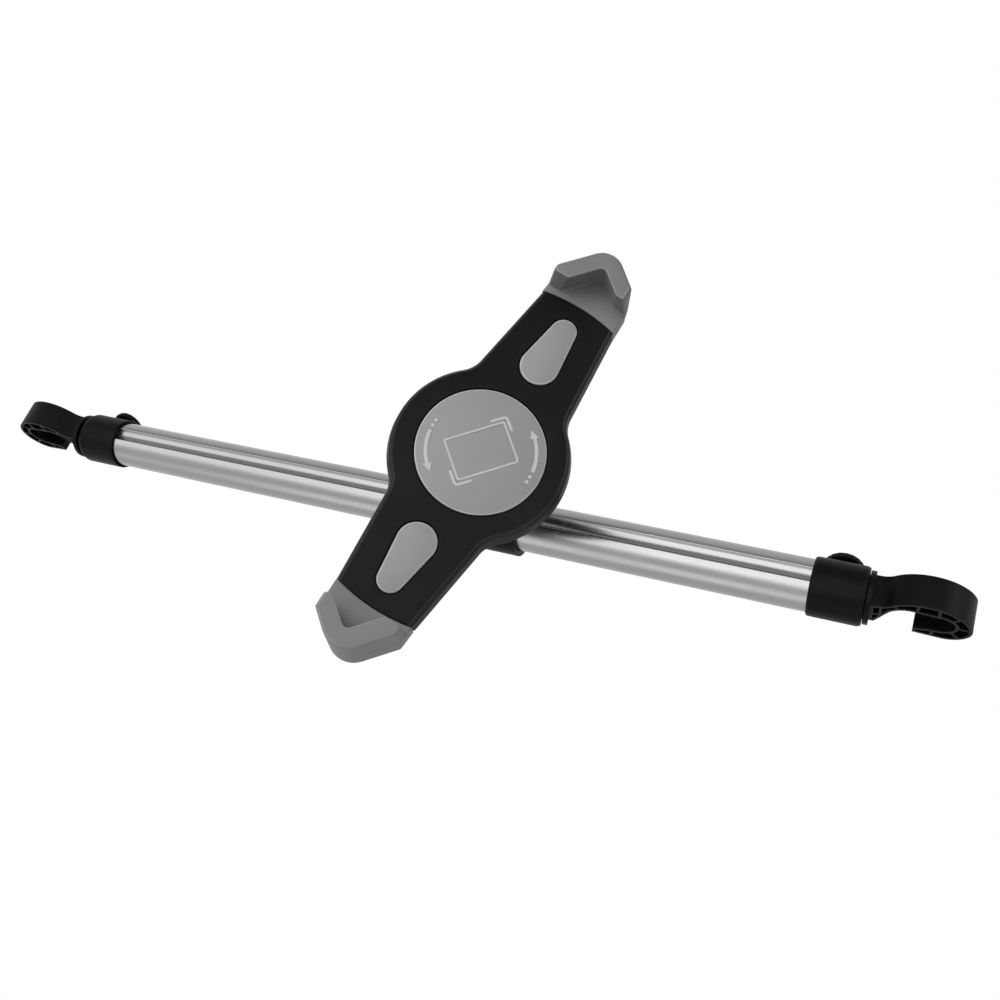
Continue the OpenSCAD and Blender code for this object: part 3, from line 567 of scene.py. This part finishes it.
def skin(rings):
    """A closed solid over rings of points in space with one count."""
    bm = bmesh.new()
    made = [[bm.verts.new(p) for p in points] for points in rings]
    for a, b in zip(made, made[1:]):
        band(bm, a, b)
    bm.faces.new(list(reversed(made[0])))
    bm.faces.new(made[-1])
    return bm


def loft(rings):
    """A closed solid from level rings of points with one count: [(points, z), ...]."""
    return skin([[(x, y, z) for x, y in pts] for pts, z in rings])


def cutter(outline, low, high):
    """A straight block over an outline, to cut with."""
    return to_object("cutter", loft([(outline, low), (outline, high)]))


def cut(piece, *cutters):
    """Cuts the cutters out of the piece and leaves no modifier behind."""
    for c in cutters:
        mod = piece.modifiers.new("cut", "BOOLEAN")
        mod.operation = "DIFFERENCE"
        mod.solver = "EXACT"
        mod.object = c
    bpy.context.view_layer.update()
    mesh = bpy.data.meshes.new_from_object(piece.evaluated_get(bpy.context.evaluated_depsgraph_get()))
    piece.modifiers.clear()
    old = piece.data
    piece.data = mesh
    bpy.data.meshes.remove(old)
    for c in cutters:
        m = c.data
        bpy.data.objects.remove(c)
        bpy.data.meshes.remove(m)
    mesh.shade_smooth()
    mesh.set_sharp_from_angle(angle=radians(28))


def rim_rings(low, high, bevel, seam, at_top):
    """Rings of a plate with a wall that flares towards the parting line and a softly bevelled rim."""
    soft = 0.35 * bevel
    flare = in_mm("shell").flare
    foot, z1, s = (low, high, 1) if at_top else (high, low, -1)
    steps = ((-flare, foot), (0, z1 - s * (bevel + soft)), (0.15 * soft, z1 - s * (bevel + 0.4 * soft)),
             (0.5 * soft, z1 - s * (bevel - 0.1 * soft)), (bevel - 0.1 * soft, z1 - s * 0.5 * soft),
             (bevel + 0.4 * soft, z1 - s * 0.15 * soft), (bevel + soft, z1))
    rings = [(shell_outline(t, seam), z) for t, z in steps]
    return rings if at_top else list(reversed(rings))


class MOUNT_OT_bar(Operator):
    """Draw the bar with its rounded groove, and finish the collars and the threaded inserts."""

    bl_idname = "mount.bar"
    bl_label = "Bar and collars"

    def section(self):
        """Outside and inside of the bar, as points in Y and Z, with the groove towards -Y."""
        b = in_mm("bar")
        r, half, wall, hollow = b.radius, b.groove / 2, b.wall, b.groove_round
        y = -sqrt(r * r - half * half)
        c = y - sqrt(hollow * hollow - half * half)
        edge = degrees(asin(half / r))
        sweep = degrees(asin(half / hollow))
        out = arc(0, 0, r, 180 + edge + LIP_TURN, 540 - edge - LIP_TURN, 120)
        groove = arc(c, 0, hollow, sweep - HOLLOW_TURN, HOLLOW_TURN - sweep, 40)
        points = out + bend(out[-1], (y, half), groove[0]) + groove + bend(groove[-1], (y, -half), out[0])
        # The wall behind the groove meets the inside of the tube
        bore, back = r - wall, hollow + wall
        at = (bore ** 2 - back ** 2 + c * c) / (-2 * c)
        side = sqrt(bore ** 2 - at ** 2)
        a, b = bearing(at, side), bearing(-c - at, side)
        inner = arc(0, 0, bore, 180 + a, 540 - a, 126) + arc(c, 0, back, b, -b, 40)
        return points, inner

    def execute(self, context):
        low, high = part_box("rail_tube")
        x0, x1 = low.x / MM, high.x / MM
        outer, inner = self.section()
        bm = bmesh.new()
        ends = ((outer, x0), (outer, x1), (inner, x1), (inner, x0))
        loops = [[bm.verts.new((x, y, z)) for y, z in pts] for pts, x in ends]
        for a, b in zip(loops, loops[1:] + loops[:1]):
            band(bm, a, b)
        o = to_object("bar_tube", bm, "bar", "bar", place=Matrix.Identity(4), sharp=35.0)
        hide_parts("rail_tube")
        dress("nylon", "left_collar", "right_collar")
        dress("brass", "left_insert", "right_insert", "carriage_insert")
        return {"FINISHED"}


class MOUNT_OT_hooks(Operator):
    """Finish the two post hooks."""

    bl_idname = "mount.hooks"
    bl_label = "Post hooks"

    def execute(self, context):
        dress("nylon", "left_hook", "right_hook")
        return {"FINISHED"}


class MOUNT_OT_knobs(Operator):
    """Finish the clamp knobs and their screws."""

    bl_idname = "mount.knobs"
    bl_label = "Clamp knobs"

    def execute(self, context):
        dress("nylon", "left_knob", "right_knob", "carriage_knob")
        dress("steel", "left_clamp_screw", "right_clamp_screw", "carriage_screw")
        return {"FINISHED"}


class MOUNT_OT_carriage(Operator):
    """Finish the carriage and the ball joint."""

    bl_idname = "mount.carriage"
    bl_label = "Carriage and ball joint"

    def execute(self, context):
        dress("nylon", "carriage", "lock_ring")
        dress("ball", "ball_stud")
        dress("acetal", "ball_seat")
        return {"FINISHED"}


class MOUNT_OT_shell(Operator):
    """Build the holder's two bevelled shell halves over the plain solids."""

    bl_idname = "mount.shell"
    bl_label = "Holder shell"

    def execute(self, context):
        s = in_mm("shell")
        seam, bevel, wall = s.seam_radius, s.bevel, s.wall
        front, back = s.face, s.face - s.depth
        part = back + s.parting
        cover = to_object("holder_front", loft(rim_rings(part + SPLIT, front, bevel, seam, True)), "shell", "holder")
        room = shell_outline(wall, seam + 5)
        marks = in_mm("marks")
        disc = ring(marks.aside, marks.along, marks.disc_radius + DISC_GAP, 144)
        cut(cover, cutter(room, part - PAST, front - s.front_wall),
            *[cutter(well, front - WELL_DEPTH, front + PAST)
              for well in (disc, drop_outline(DROP_GAP, 1), drop_outline(DROP_GAP, -1))])
        # Painted highlight: a lighter finish on the front bevel
        paint_rim_highlight(cover, "shell_rim_highlight", front - SHELL_RIM * bevel, front - 0.01)
        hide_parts("front_shell")
        rear = to_object("holder_back", loft(rim_rings(back, part - SPLIT, bevel, seam, False)), "shell", "holder")
        cut(rear, cutter(room, back + s.back_wall, part + PAST),
            *[cutter(ring(x, y, SCREW_HOLE, 36), back - PAST, back + SCREW_HOLE_DEPTH) for x, y in SCREWS])
        # Painted highlight: a lighter finish on the back bevel
        paint_rim_highlight(rear, "shell_rim_highlight", back + 0.01, back + SHELL_RIM * bevel)
        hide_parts("back_shell")
        return {"FINISHED"}


class MOUNT_OT_inlays(Operator):
    """Build the three bevelled inlays and raise the generic marks on the round one."""

    bl_idname = "mount.inlays"
    bl_label = "Inlays and marks"

    def raised(self, bm, outline, hole=None):
        """Adds a low relief to the mesh, from an outline and an optional hole."""
        s = in_mm("marks")
        z0, z1 = s.face - MARK_SINK, s.face + s.relief
        loops = []
        for pts in (outline, hole):
            if pts:
                low, top = ([bm.verts.new((x, y, z)) for x, y in pts] for z in (z0, z1))
                band(bm, low, top)
                loops.append(top)
        fill_between(bm, loops)

    def ribbon(self, pts, width):
        """The outline of a line with round ends."""
        v = [Vector(p) for p in pts]
        left, right = [], []
        for i, p in enumerate(v):
            d = (v[min(i + 1, len(v) - 1)] - v[max(i - 1, 0)]).normalized()
            n = Vector((-d.y, d.x)) * width / 2
            left.append(p + n)
            right.append(p - n)
        d0, d1 = (v[1] - v[0]).normalized(), (v[-1] - v[-2]).normalized()
        a0, a1 = bearing(d0.x, d0.y), bearing(d1.x, d1.y)
        end = arc(v[-1].x, v[-1].y, width / 2, a1 + 90, a1 - 90, 10)[1:-1]
        start = arc(v[0].x, v[0].y, width / 2, a0 - 90, a0 - 270, 10)[1:-1]
        return [tuple(p) for p in left] + end + [tuple(p) for p in reversed(right)] + start

    def rounded(self, corners, radius, closed=True):
        """A path with rounded corners."""
        v = [Vector(c) for c in corners]
        out = []
        n = len(v)
        for i, p in enumerate(v):
            if not closed and i in (0, n - 1):
                out.append(tuple(p))
                continue
            a, b = (p + (v[k] - p).normalized() * radius for k in (i - 1, (i + 1) % n))
            out += [tuple(a), *bend(a, p, b, CORNER_STEPS), tuple(b)]
        return out

    def execute(self, context):
        s = in_mm("marks")
        top = s.face
        foot, bevel = top - INLAY_DEPTH, s.rim
        aside, along = s.aside, s.along

        def plate(name, node, outline):
            steps = ((0, foot), (0, top - bevel), (0.35 * bevel, top - 0.35 * bevel), (bevel, top))
            o = to_object(name, loft([(outline(t), z) for t, z in steps]), "inlay", "holder", sharp=50.0)
            # Painted highlight: a lighter finish on the inlay's bevel
            paint_rim_highlight(o, "inlay_rim", top - bevel, top - 0.01)
            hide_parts(node)

        plate("round_inlay", "disc_inlay", lambda t: ring(aside, along, s.disc_radius - t, 180))
        plate("upper_long_inlay", "upper_inlay", lambda t: drop_outline(-t, 1))
        plate("lower_long_inlay", "lower_inlay", lambda t: drop_outline(-t, -1))
        a = radians(OUTLINE_TURN)
        e1 = Vector((cos(a), sin(a)))
        e2 = Vector((e1.y, -e1.x))
        half_l, half_s = s.slate_long / 2, s.slate_short / 2
        bm = bmesh.new()

        def box(g):
            return [tuple(a * (half_l + g) * e1 + b * (half_s + g) * e2) for a, b in SQUARE]

        self.raised(bm, *[self.rounded(box(g), r) for g, r in zip((s.line / 2, -s.line / 2), OUTLINE_ROUNDS)])
        r, w = s.arrow_radius, s.arrow_line
        for k, turn in ((1, 0), (-1, 180)):
            c = (half_l + BRACKET_GAP) * e1 - (half_s + BRACKET_GAP) * e2
            corners = (c - BRACKET_ARMS[0] * e1, c, c + BRACKET_ARMS[1] * e2)
            path = self.rounded([tuple(k * p) for p in corners], BRACKET_ROUND, closed=False)
            self.raised(bm, self.ribbon(path, s.bracket_line))
            tail, neck = (a + turn for a in ARROW_SPAN)
            head = [arc(0, 0, r + up, a + turn, a + turn, 1)[0] for up, a in ARROW_HEAD]
            self.raised(bm, arc(0, 0, r + w / 2, tail, neck, 16) + head + arc(0, 0, r - w / 2, neck, tail, 16))
            for a in DOT_ANGLES:
                x, y = arc(0, 0, r, a + turn, a + turn, 1)[0]
                self.raised(bm, ring(x, y, DOT_RADIUS, 20))
        bmesh.ops.translate(bm, vec=(aside + MARK_SHIFT, along + MARK_SHIFT, 0), verts=bm.verts)
        to_object("inlay_marks", bm, "mark", "holder")
        return {"FINISHED"}


def rounded_outline(sides, radii, heights=None):
    """Rounded corners of a closed run of lines, given as (point, direction); heights turn them into points in space."""
    out = []
    for k, (p, d) in enumerate(sides):
        q, f = sides[(k + 1) % len(sides)]
        p, d, q, f = Vector(p), Vector(d).normalized(), Vector(q), Vector(f).normalized()
        cross = d.x * f.y - d.y * f.x
        corner = p + d * (((q - p).x * f.y - (q - p).y * f.x) / cross)
        side = 1 if cross > 0 else -1
        turn = acos(max(-1.0, min(1.0, d.dot(f))))
        r = radii[k]
        start = corner - d * (r * tan(turn / 2))
        centre = start + Vector((-d.y, d.x)) * (side * r)
        a0 = atan2(start.y - centre.y, start.x - centre.x)
        for i in range(CORNER_STEPS + 1):
            a = a0 + side * turn * i / CORNER_STEPS
            point = centre.x + r * cos(a), centre.y + r * sin(a)
            if heights:
                point += (heights[k] + (heights[(k + 1) % len(sides)] - heights[k]) * i / CORNER_STEPS,)
            out.append(point)
    return out


def corner_axes():
    """Directions from the inner corner down the left wall and along the right one."""
    a = radians(225) + in_mm("grips").corner_turn
    return Vector((cos(a), sin(a))), Vector((-sin(a), cos(a)))


class MOUNT_OT_grips(Operator):
    """Build the rounded corner grips over the plain solids, and finish the rack drive."""

    bl_idname = "mount.grips"
    bl_label = "Grips and rack drive"

    def walls(self, inner, outer, ends, flank, rise=1.0, spread=0.0):
        """The lip's eight sides, counter-clockwise from the left end, each pushed in by its own amount."""
        g = in_mm("grips")
        down, right = corner_axes()
        o = Vector((CORNER_ASIDE, g.corner))
        band, shift, half = g.lip_width, g.right_shift, g.half_width
        return [
            ((0, LEFT_END + ends), (1, 0)),
            (o - inner * right, -down),
            (o - (shift + inner) * down, right),
            ((0, RIGHT_END + ends + RIGHT_END_LEAN * (1 - rise)), (1, 0)),
            ((half - flank, FLANK_ROOT), (-FLANK_SLOPE, 1)),
            (o - (band + shift - outer + RIGHT_SPREAD * spread) * down, -right),
            (o - (band - outer + spread) * right, down),
            ((LEFT_DRAFT * flank - half, FLANK_ROOT), (-FLANK_SLOPE, -1)),
        ]

    def lip(self, lower):
        """The raised lip, with leaning walls, drafted flanks, and its edges rounded broadly outside, finely inside."""
        s, g = in_mm("shell"), in_mm("grips")
        face, top = s.face, s.face + g.lip_height
        lean, flank, big, fine = g.lean, g.draft, g.lip_round, g.inner_round
        corners = [r or OUTER_ROUNDS[lower] for r in LIP_ROUNDS]
        tall = top - face
        spread = g.lower_spread if lower else 0.0
        if lower:
            big *= LOWER_EDGE_SHARE
        rings = []

        def level(inside, outside, rise_in=0.0, rise_out=0.0, wall=0.0, edge=0.0):
            """Adds a ring with one height inside and one outside; wall draws in the first half and edge the second."""
            sides = self.walls(lean * (1 - rise_in) + wall, edge, wall, flank * rise_out + edge, rise_in,
                               spread * (1 - rise_out))
            into = [wall] * 4 + [edge] * 4
            radii = [max(0.25, r - min(into[k], into[(k + 1) % 8])) if k != 1 else r + wall
                     for k, r in enumerate(corners)]
            rings.append(rounded_outline(sides, radii, [inside] * 4 + [outside] * 4))

        level(face - LIP_FOOT, face - LIP_FOOT)
        # Small fillets where the walls and ends rise from the floor
        for k in range(5):
            a = radians(90 * k / 4)
            flare, up = FILLET_REACH * (1 - sin(a)), FILLET_HEIGHT * (1 - cos(a))
            level(face + up, face + up - 0.3, up / tall, up / tall, -flare)
        level(top - fine - 0.4, top - big - 0.4, 1 - (fine + 0.4) / tall, 1 - (big + 0.4) / tall)
        for k in range(8):
            a = radians(90 * k / 7)
            drop = [r * (1 - sin(a)) for r in (fine, big)]
            into = [r * (1 - cos(a)) for r in (fine, big)]
            level(top - drop[0], top - drop[1], 1 - drop[0] / tall, 1 - drop[1] / tall, *into)
        return rings

    def pad(self, lower):
        """The flat part behind the lip, from the curved seam to the outer corner."""
        s, g = in_mm("shell"), in_mm("grips")
        back, face, edge = s.face - s.depth, s.face, g.edge_round
        near, far = (g.lower_spread, g.lower_spread_back) if lower else (0.0, -g.upper_draw)
        rings = []
        for z, t in ((back, edge), (back + 0.3 * edge, 0.3 * edge), (back + edge, 0), (back + 2 * edge, 0),
                     (face - 2 * edge, 0), (face - edge, 0), (face - 0.3 * edge, 0.3 * edge), (face, edge)):
            depth = (face - z) / (face - back)
            sides = self.walls(0, t, 0, t - PAD_FLARE * depth, spread=near + (far - near) * depth)[4:8]
            right, left = sides[0], sides[3]
            r = s.seam_radius + SEAM_GAP + t
            # Where each flank meets the seam
            angles = []
            for p, d in (left, right):
                p, d = Vector(p), Vector(d).normalized()
                b = p.dot(d)
                reach = sqrt(b * b - p.dot(p) + r * r)
                tip = p + d * (reach - b if d.y > 0 else -b - reach)
                angles.append(bearing(tip.x, tip.y))
            # Three corners are kept; the other two only close the run
            corners = rounded_outline([*sides, ((0, 0), (1, 0))],
                                      [LIP_ROUNDS[4], OUTER_ROUNDS[lower], LIP_ROUNDS[6], 0.01, 0.01])
            pts = arc(0, 0, r, *angles, 40) + corners[:3 * (CORNER_STEPS + 1)]
            rings.append([(x, y, z) for x, y in pts])
        return rings

    def inner_edge(self, c, n):
        """True for faces that look into the room under the lip or out of its ends."""
        down, right = corner_axes()
        flat = Vector((n.x, n.y)).normalized()
        return max(flat.dot(down), flat.dot(right), -flat.y) > INNER_SLANT

    def stem(self, node, turn):
        """The sliding stem and rack as on the solid, cut off just inside the pad."""
        inv = (HOLDER @ Matrix.Rotation(turn, 4, "Z")).inverted()
        bm = bmesh.new()
        bm.from_mesh(frame["nodes"][node].data)
        bmesh.ops.transform(bm, matrix=inv, verts=bm.verts)
        bmesh.ops.scale(bm, vec=(1 / MM,) * 3, verts=bm.verts)
        bmesh.ops.remove_doubles(bm, verts=bm.verts, dist=1e-4)
        whole = bm.verts[:] + bm.edges[:] + bm.faces[:]
        done = bmesh.ops.bisect_plane(bm, geom=whole, plane_co=(0, STEM_CUT, 0), plane_no=(0, 1, 0), clear_outer=True)
        rim = [e for e in done["geom_cut"] if isinstance(e, bmesh.types.BMEdge)]
        moved = bmesh.ops.extrude_edge_only(bm, edges=rim)["geom"]
        verts = [v for v in moved if isinstance(v, bmesh.types.BMVert)]
        bmesh.ops.translate(bm, vec=(0, STEM_INTO_PAD, 0), verts=verts)
        bmesh.ops.holes_fill(bm, edges=[e for e in moved if isinstance(e, bmesh.types.BMEdge)], sides=0)
        return bm

    def execute(self, context):
        s, g = in_mm("shell"), in_mm("grips")
        top = s.face + g.lip_height
        for node, turn in (("upper_jaw", 0.0), ("lower_jaw", pi)):
            lower = turn > 0
            bm = self.stem(node, turn)
            for rings in (self.pad(lower), self.lip(lower)):
                part = skin(rings)
                if lower:
                    bmesh.ops.translate(part, vec=(0, -s.lower_short, 0), verts=part.verts)
                bmesh.ops.recalc_face_normals(part, faces=part.faces)
                mesh = bpy.data.meshes.new("part")
                part.to_mesh(mesh)
                part.free()
                bm.from_mesh(mesh)
                bpy.data.meshes.remove(mesh)
            place = HOLDER @ Matrix.Rotation(turn, 4, "Z")
            o = to_object(node.replace("jaw", "grip"), bm, "grip", node, place=place, sharp=40.0)
            # Painted highlight on the lip's top edges: all round on the lower grip, whose edges catch more light, where
            # it also hides a dark shading line
            paint_rim_highlight(o, "grip_rim", top - GRIP_RIM[lower], top - 0.005, turn, None if lower else self.inner_edge)
            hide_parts(node)
        dress("acetal", "pinion")
        dress("steel", "pinion_axle")
        return {"FINISHED"}


class MOUNT_OT_screws(Operator):
    """Set the four screws that close the shell into its back."""

    bl_idname = "mount.screws"
    bl_label = "Closing screws"

    def execute(self, context):
        s = in_mm("shell")
        back = s.face - s.depth
        bm = bmesh.new()
        cross = [(0.35, 0.35), (0.35, 1.35), (-0.35, 1.35), (-0.35, 0.35), (-1.35, 0.35), (-1.35, -0.35),
                 (-0.35, -0.35), (-0.35, -1.35), (0.35, -1.35), (0.35, -0.35), (1.35, -0.35), (1.35, 0.35)]
        # Radius and height over the back face, from the shank up to the flat of the head
        head = ((2.6, 1.95), (2.6, 1.1), (2.45, 0.75), (2.1, 0.52), (1.7, 0.42))
        for cx, cy in SCREWS:
            rings = [[bm.verts.new((x, y, back + z)) for x, y in ring(cx, cy, r, 36)] for r, z in head]
            for a, b in zip(rings, rings[1:]):
                band(bm, a, b)
            lip, deep = ([bm.verts.new((cx + f * x, cy + f * y, back + z)) for x, y in cross]
                         for f, z in ((1, 0.42), (0.75, 1.3)))
            band(bm, lip, deep)
            bm.faces.new(deep)
            fill_between(bm, (rings[-1], lip))
        to_object("closing_screws", bm, "steel", "holder")
        return {"FINISHED"}


class MOUNT_OT_stage(Operator):
    """Set the floor, the soft studio light and the camera."""

    bl_idname = "mount.stage"
    bl_label = "Stage"

    def white_seen(self, tree):
        """One for rays from the camera, a reflection or through glass, which see plain white."""
        path = add(tree, "LightPath")
        seen = sums(tree, "MAXIMUM", path.outputs["Is Camera Ray"], path.outputs["Is Transmission Ray"])
        return sums(tree, "MAXIMUM", seen, path.outputs["Is Glossy Ray"])

    def lamp(self, name, at, aim, size, power, mirrored=True, shading=True):
        """A soft box; it may be left out of reflections, or show in them alone."""
        data = bpy.data.lights.new(name, "AREA")
        data.shape = "RECTANGLE"
        data.size, data.size_y = size
        data.energy = power
        o = new_object(name, data)
        o.location = at
        o.rotation_euler = (Vector(aim) - Vector(at)).to_track_quat("-Z", "Y").to_euler()
        o.visible_camera = False
        o.visible_glossy = mirrored
        o.visible_diffuse = shading

    def sheet(self, name, corners, material):
        """A flat piece with one face."""
        mesh = bpy.data.meshes.new(name)
        mesh.from_pydata(corners, [], [(0, 1, 2, 3)])
        mesh.materials.append(material)
        return new_object(name, mesh)

    def execute(self, context):
        scene, s = context.scene, context.scene.mount_stage
        scene.view_settings.view_transform = "Standard"
        world = bpy.data.worlds.new("Studio")
        world.use_nodes = True
        scene.world = world
        t = world.node_tree
        soft = fill(t.nodes["Background"], Color=WHITE, Strength=s.ambient)
        white = fill(add(t, "Background"), Color=WHITE, Strength=1.0)
        seen = mix_shaders(t, self.white_seen(t), soft.outputs[0], white.outputs[0])
        link(seen, t.nodes["World Output"].inputs["Surface"])

        m, t, pale = new_material("Pale floor")
        fill(pale, Base_Color=(0.92, 0.92, 0.92, 1), Roughness=0.8, Specular_IOR_Level=0.0)
        # The floor fades into the white surroundings away from the object
        place = add(t, "TexCoord")
        far = add(t, "VectorMath", operation="LENGTH")
        link(place.outputs["Object"], far.inputs[0])
        start, rate, least = 0.45, 1.8, 0.72
        fade = sums(t, "SUBTRACT", far.outputs["Value"], start, True)
        fade = sums(t, "MAXIMUM", times(t, fade, rate, True), least)
        glow = fill(add(t, "Emission"), Color=WHITE)
        mirrored = add(t, "LightPath")
        seen = times(t, fade, self.white_seen(t))
        seen = sums(t, "MAXIMUM", seen, mirrored.outputs["Is Glossy Ray"])
        both = mix_shaders(t, seen, pale.outputs[0], glow.outputs[0])
        link(both, t.nodes["Material Output"].inputs["Surface"])
        floor = self.sheet("floor", [(6.0 * x, 6.0 * y, -s.floor_drop) for x, y in SQUARE], m)

        mid = (0.0, -0.03, 0.0)
        self.lamp("front", (-0.2, -1.3, 0.2), mid, (1.2, 1.0), s.key_power, mirrored=False)
        self.lamp("top", (-0.5, -0.4, 1.5), mid, (1.0, 1.0), s.top_power, mirrored=False)
        # Strips that only the metal and the gloss mirror: middle, width, and power of the front, low and under one
        w = s.strip_power
        strips = (("right", 0.475, 1.65, 6.0, 1.6, 0.9), ("left", -0.74, 0.78, 1.85, 0.3, 0.16))
        for side, x, wide, front, low, under in strips:
            self.lamp("strip front " + side, (x, -0.64, -0.12), (x, 0.0, -0.12), (wide, 0.64), front * w, shading=False)
            self.lamp("strip low " + side, (x, -0.46, -0.39), (x, 0.0, 0.0), (wide, 0.24), low * w, shading=False)
            self.lamp("strip under " + side, (x, 0.0, -0.41), (x, 0.0, 0.0), (wide, 0.2), under * w, shading=False)
        self.lamp("strip side", (1.2, -0.55, 0.5), (0.2, 0.0, 0.0), (0.5, 0.5), 3.6 * w, shading=False)

        # A card above the front that dims the white where the metal mirrors it
        m, t, dim = new_material("Dark card")
        fill(dim, Base_Color=(0, 0, 0, 1), Emission_Color=WHITE, Emission_Strength=s.card)
        low, high = (-0.95, 0.42), (-0.3, 0.95)
        card = self.sheet("dark_card", [(-1.2, *low), (1.4, *low), (1.4, *high), (-1.2, *high)], m)
        card.visible_camera = False
        card.visible_diffuse = False
        card.visible_shadow = False

        cam = bpy.data.cameras.new("photo view")
        cam.lens = s.lens
        cam.sensor_width = 36.0
        cam.clip_start = 0.01
        o = new_object("photo view", cam)
        # Turn and place as solved from the photo
        right, up = Vector((0.91871, 0.22346, 0.32564)), Vector((-0.18308, -0.48962, 0.85250))
        o.matrix_world = Matrix((right, up, right.cross(up))).transposed().to_4x4()
        o.location = (0.23265, -0.47125, -0.21675)
        scene.camera = o
        return {"FINISHED"}


class MOUNT_PT_panel(Panel):
    """Lists the mount's build steps in the sidebar."""

    bl_idname = "MOUNT_PT_panel"
    bl_label = "Tablet mount"
    bl_space_type = "VIEW_3D"
    bl_region_type = "UI"
    bl_category = "Tablet mount"

    def draw(self, context):
        for name in GROUPS:
            group = getattr(context.scene, name)
            box = self.layout.box()
            box.label(text=name.removeprefix("mount_").title())
            for key in group.__annotations__:
                box.prop(group, key)
        for op in STEPS:
            self.layout.operator(op.bl_idname)


STEPS = (MOUNT_OT_bar, MOUNT_OT_hooks, MOUNT_OT_knobs, MOUNT_OT_carriage, MOUNT_OT_shell, MOUNT_OT_inlays,
         MOUNT_OT_grips, MOUNT_OT_screws, MOUNT_OT_stage)
GROUPS = {"mount_finishes": MountFinishes, "mount_bar": MountBar, "mount_shell": MountShell,
          "mount_grips": MountGrips, "mount_marks": MountMarks, "mount_stage": MountStage}


def register():
    for c in (*GROUPS.values(), *STEPS, MOUNT_PT_panel):
        bpy.utils.register_class(c)
    for name, c in GROUPS.items():
        setattr(bpy.types.Scene, name, PointerProperty(type=c))


def unregister():
    for name in GROUPS:
        delattr(bpy.types.Scene, name)
    for c in reversed((*GROUPS.values(), *STEPS, MOUNT_PT_panel)):
        bpy.utils.unregister_class(c)


def main():
    register()
    bpy.ops.mount.bar()
    bpy.ops.mount.hooks()
    bpy.ops.mount.knobs()
    bpy.ops.mount.carriage()
    bpy.ops.mount.shell()
    bpy.ops.mount.inlays()
    bpy.ops.mount.grips()
    bpy.ops.mount.screws()
    bpy.ops.mount.stage()


if __name__ == "__main__":
    main()
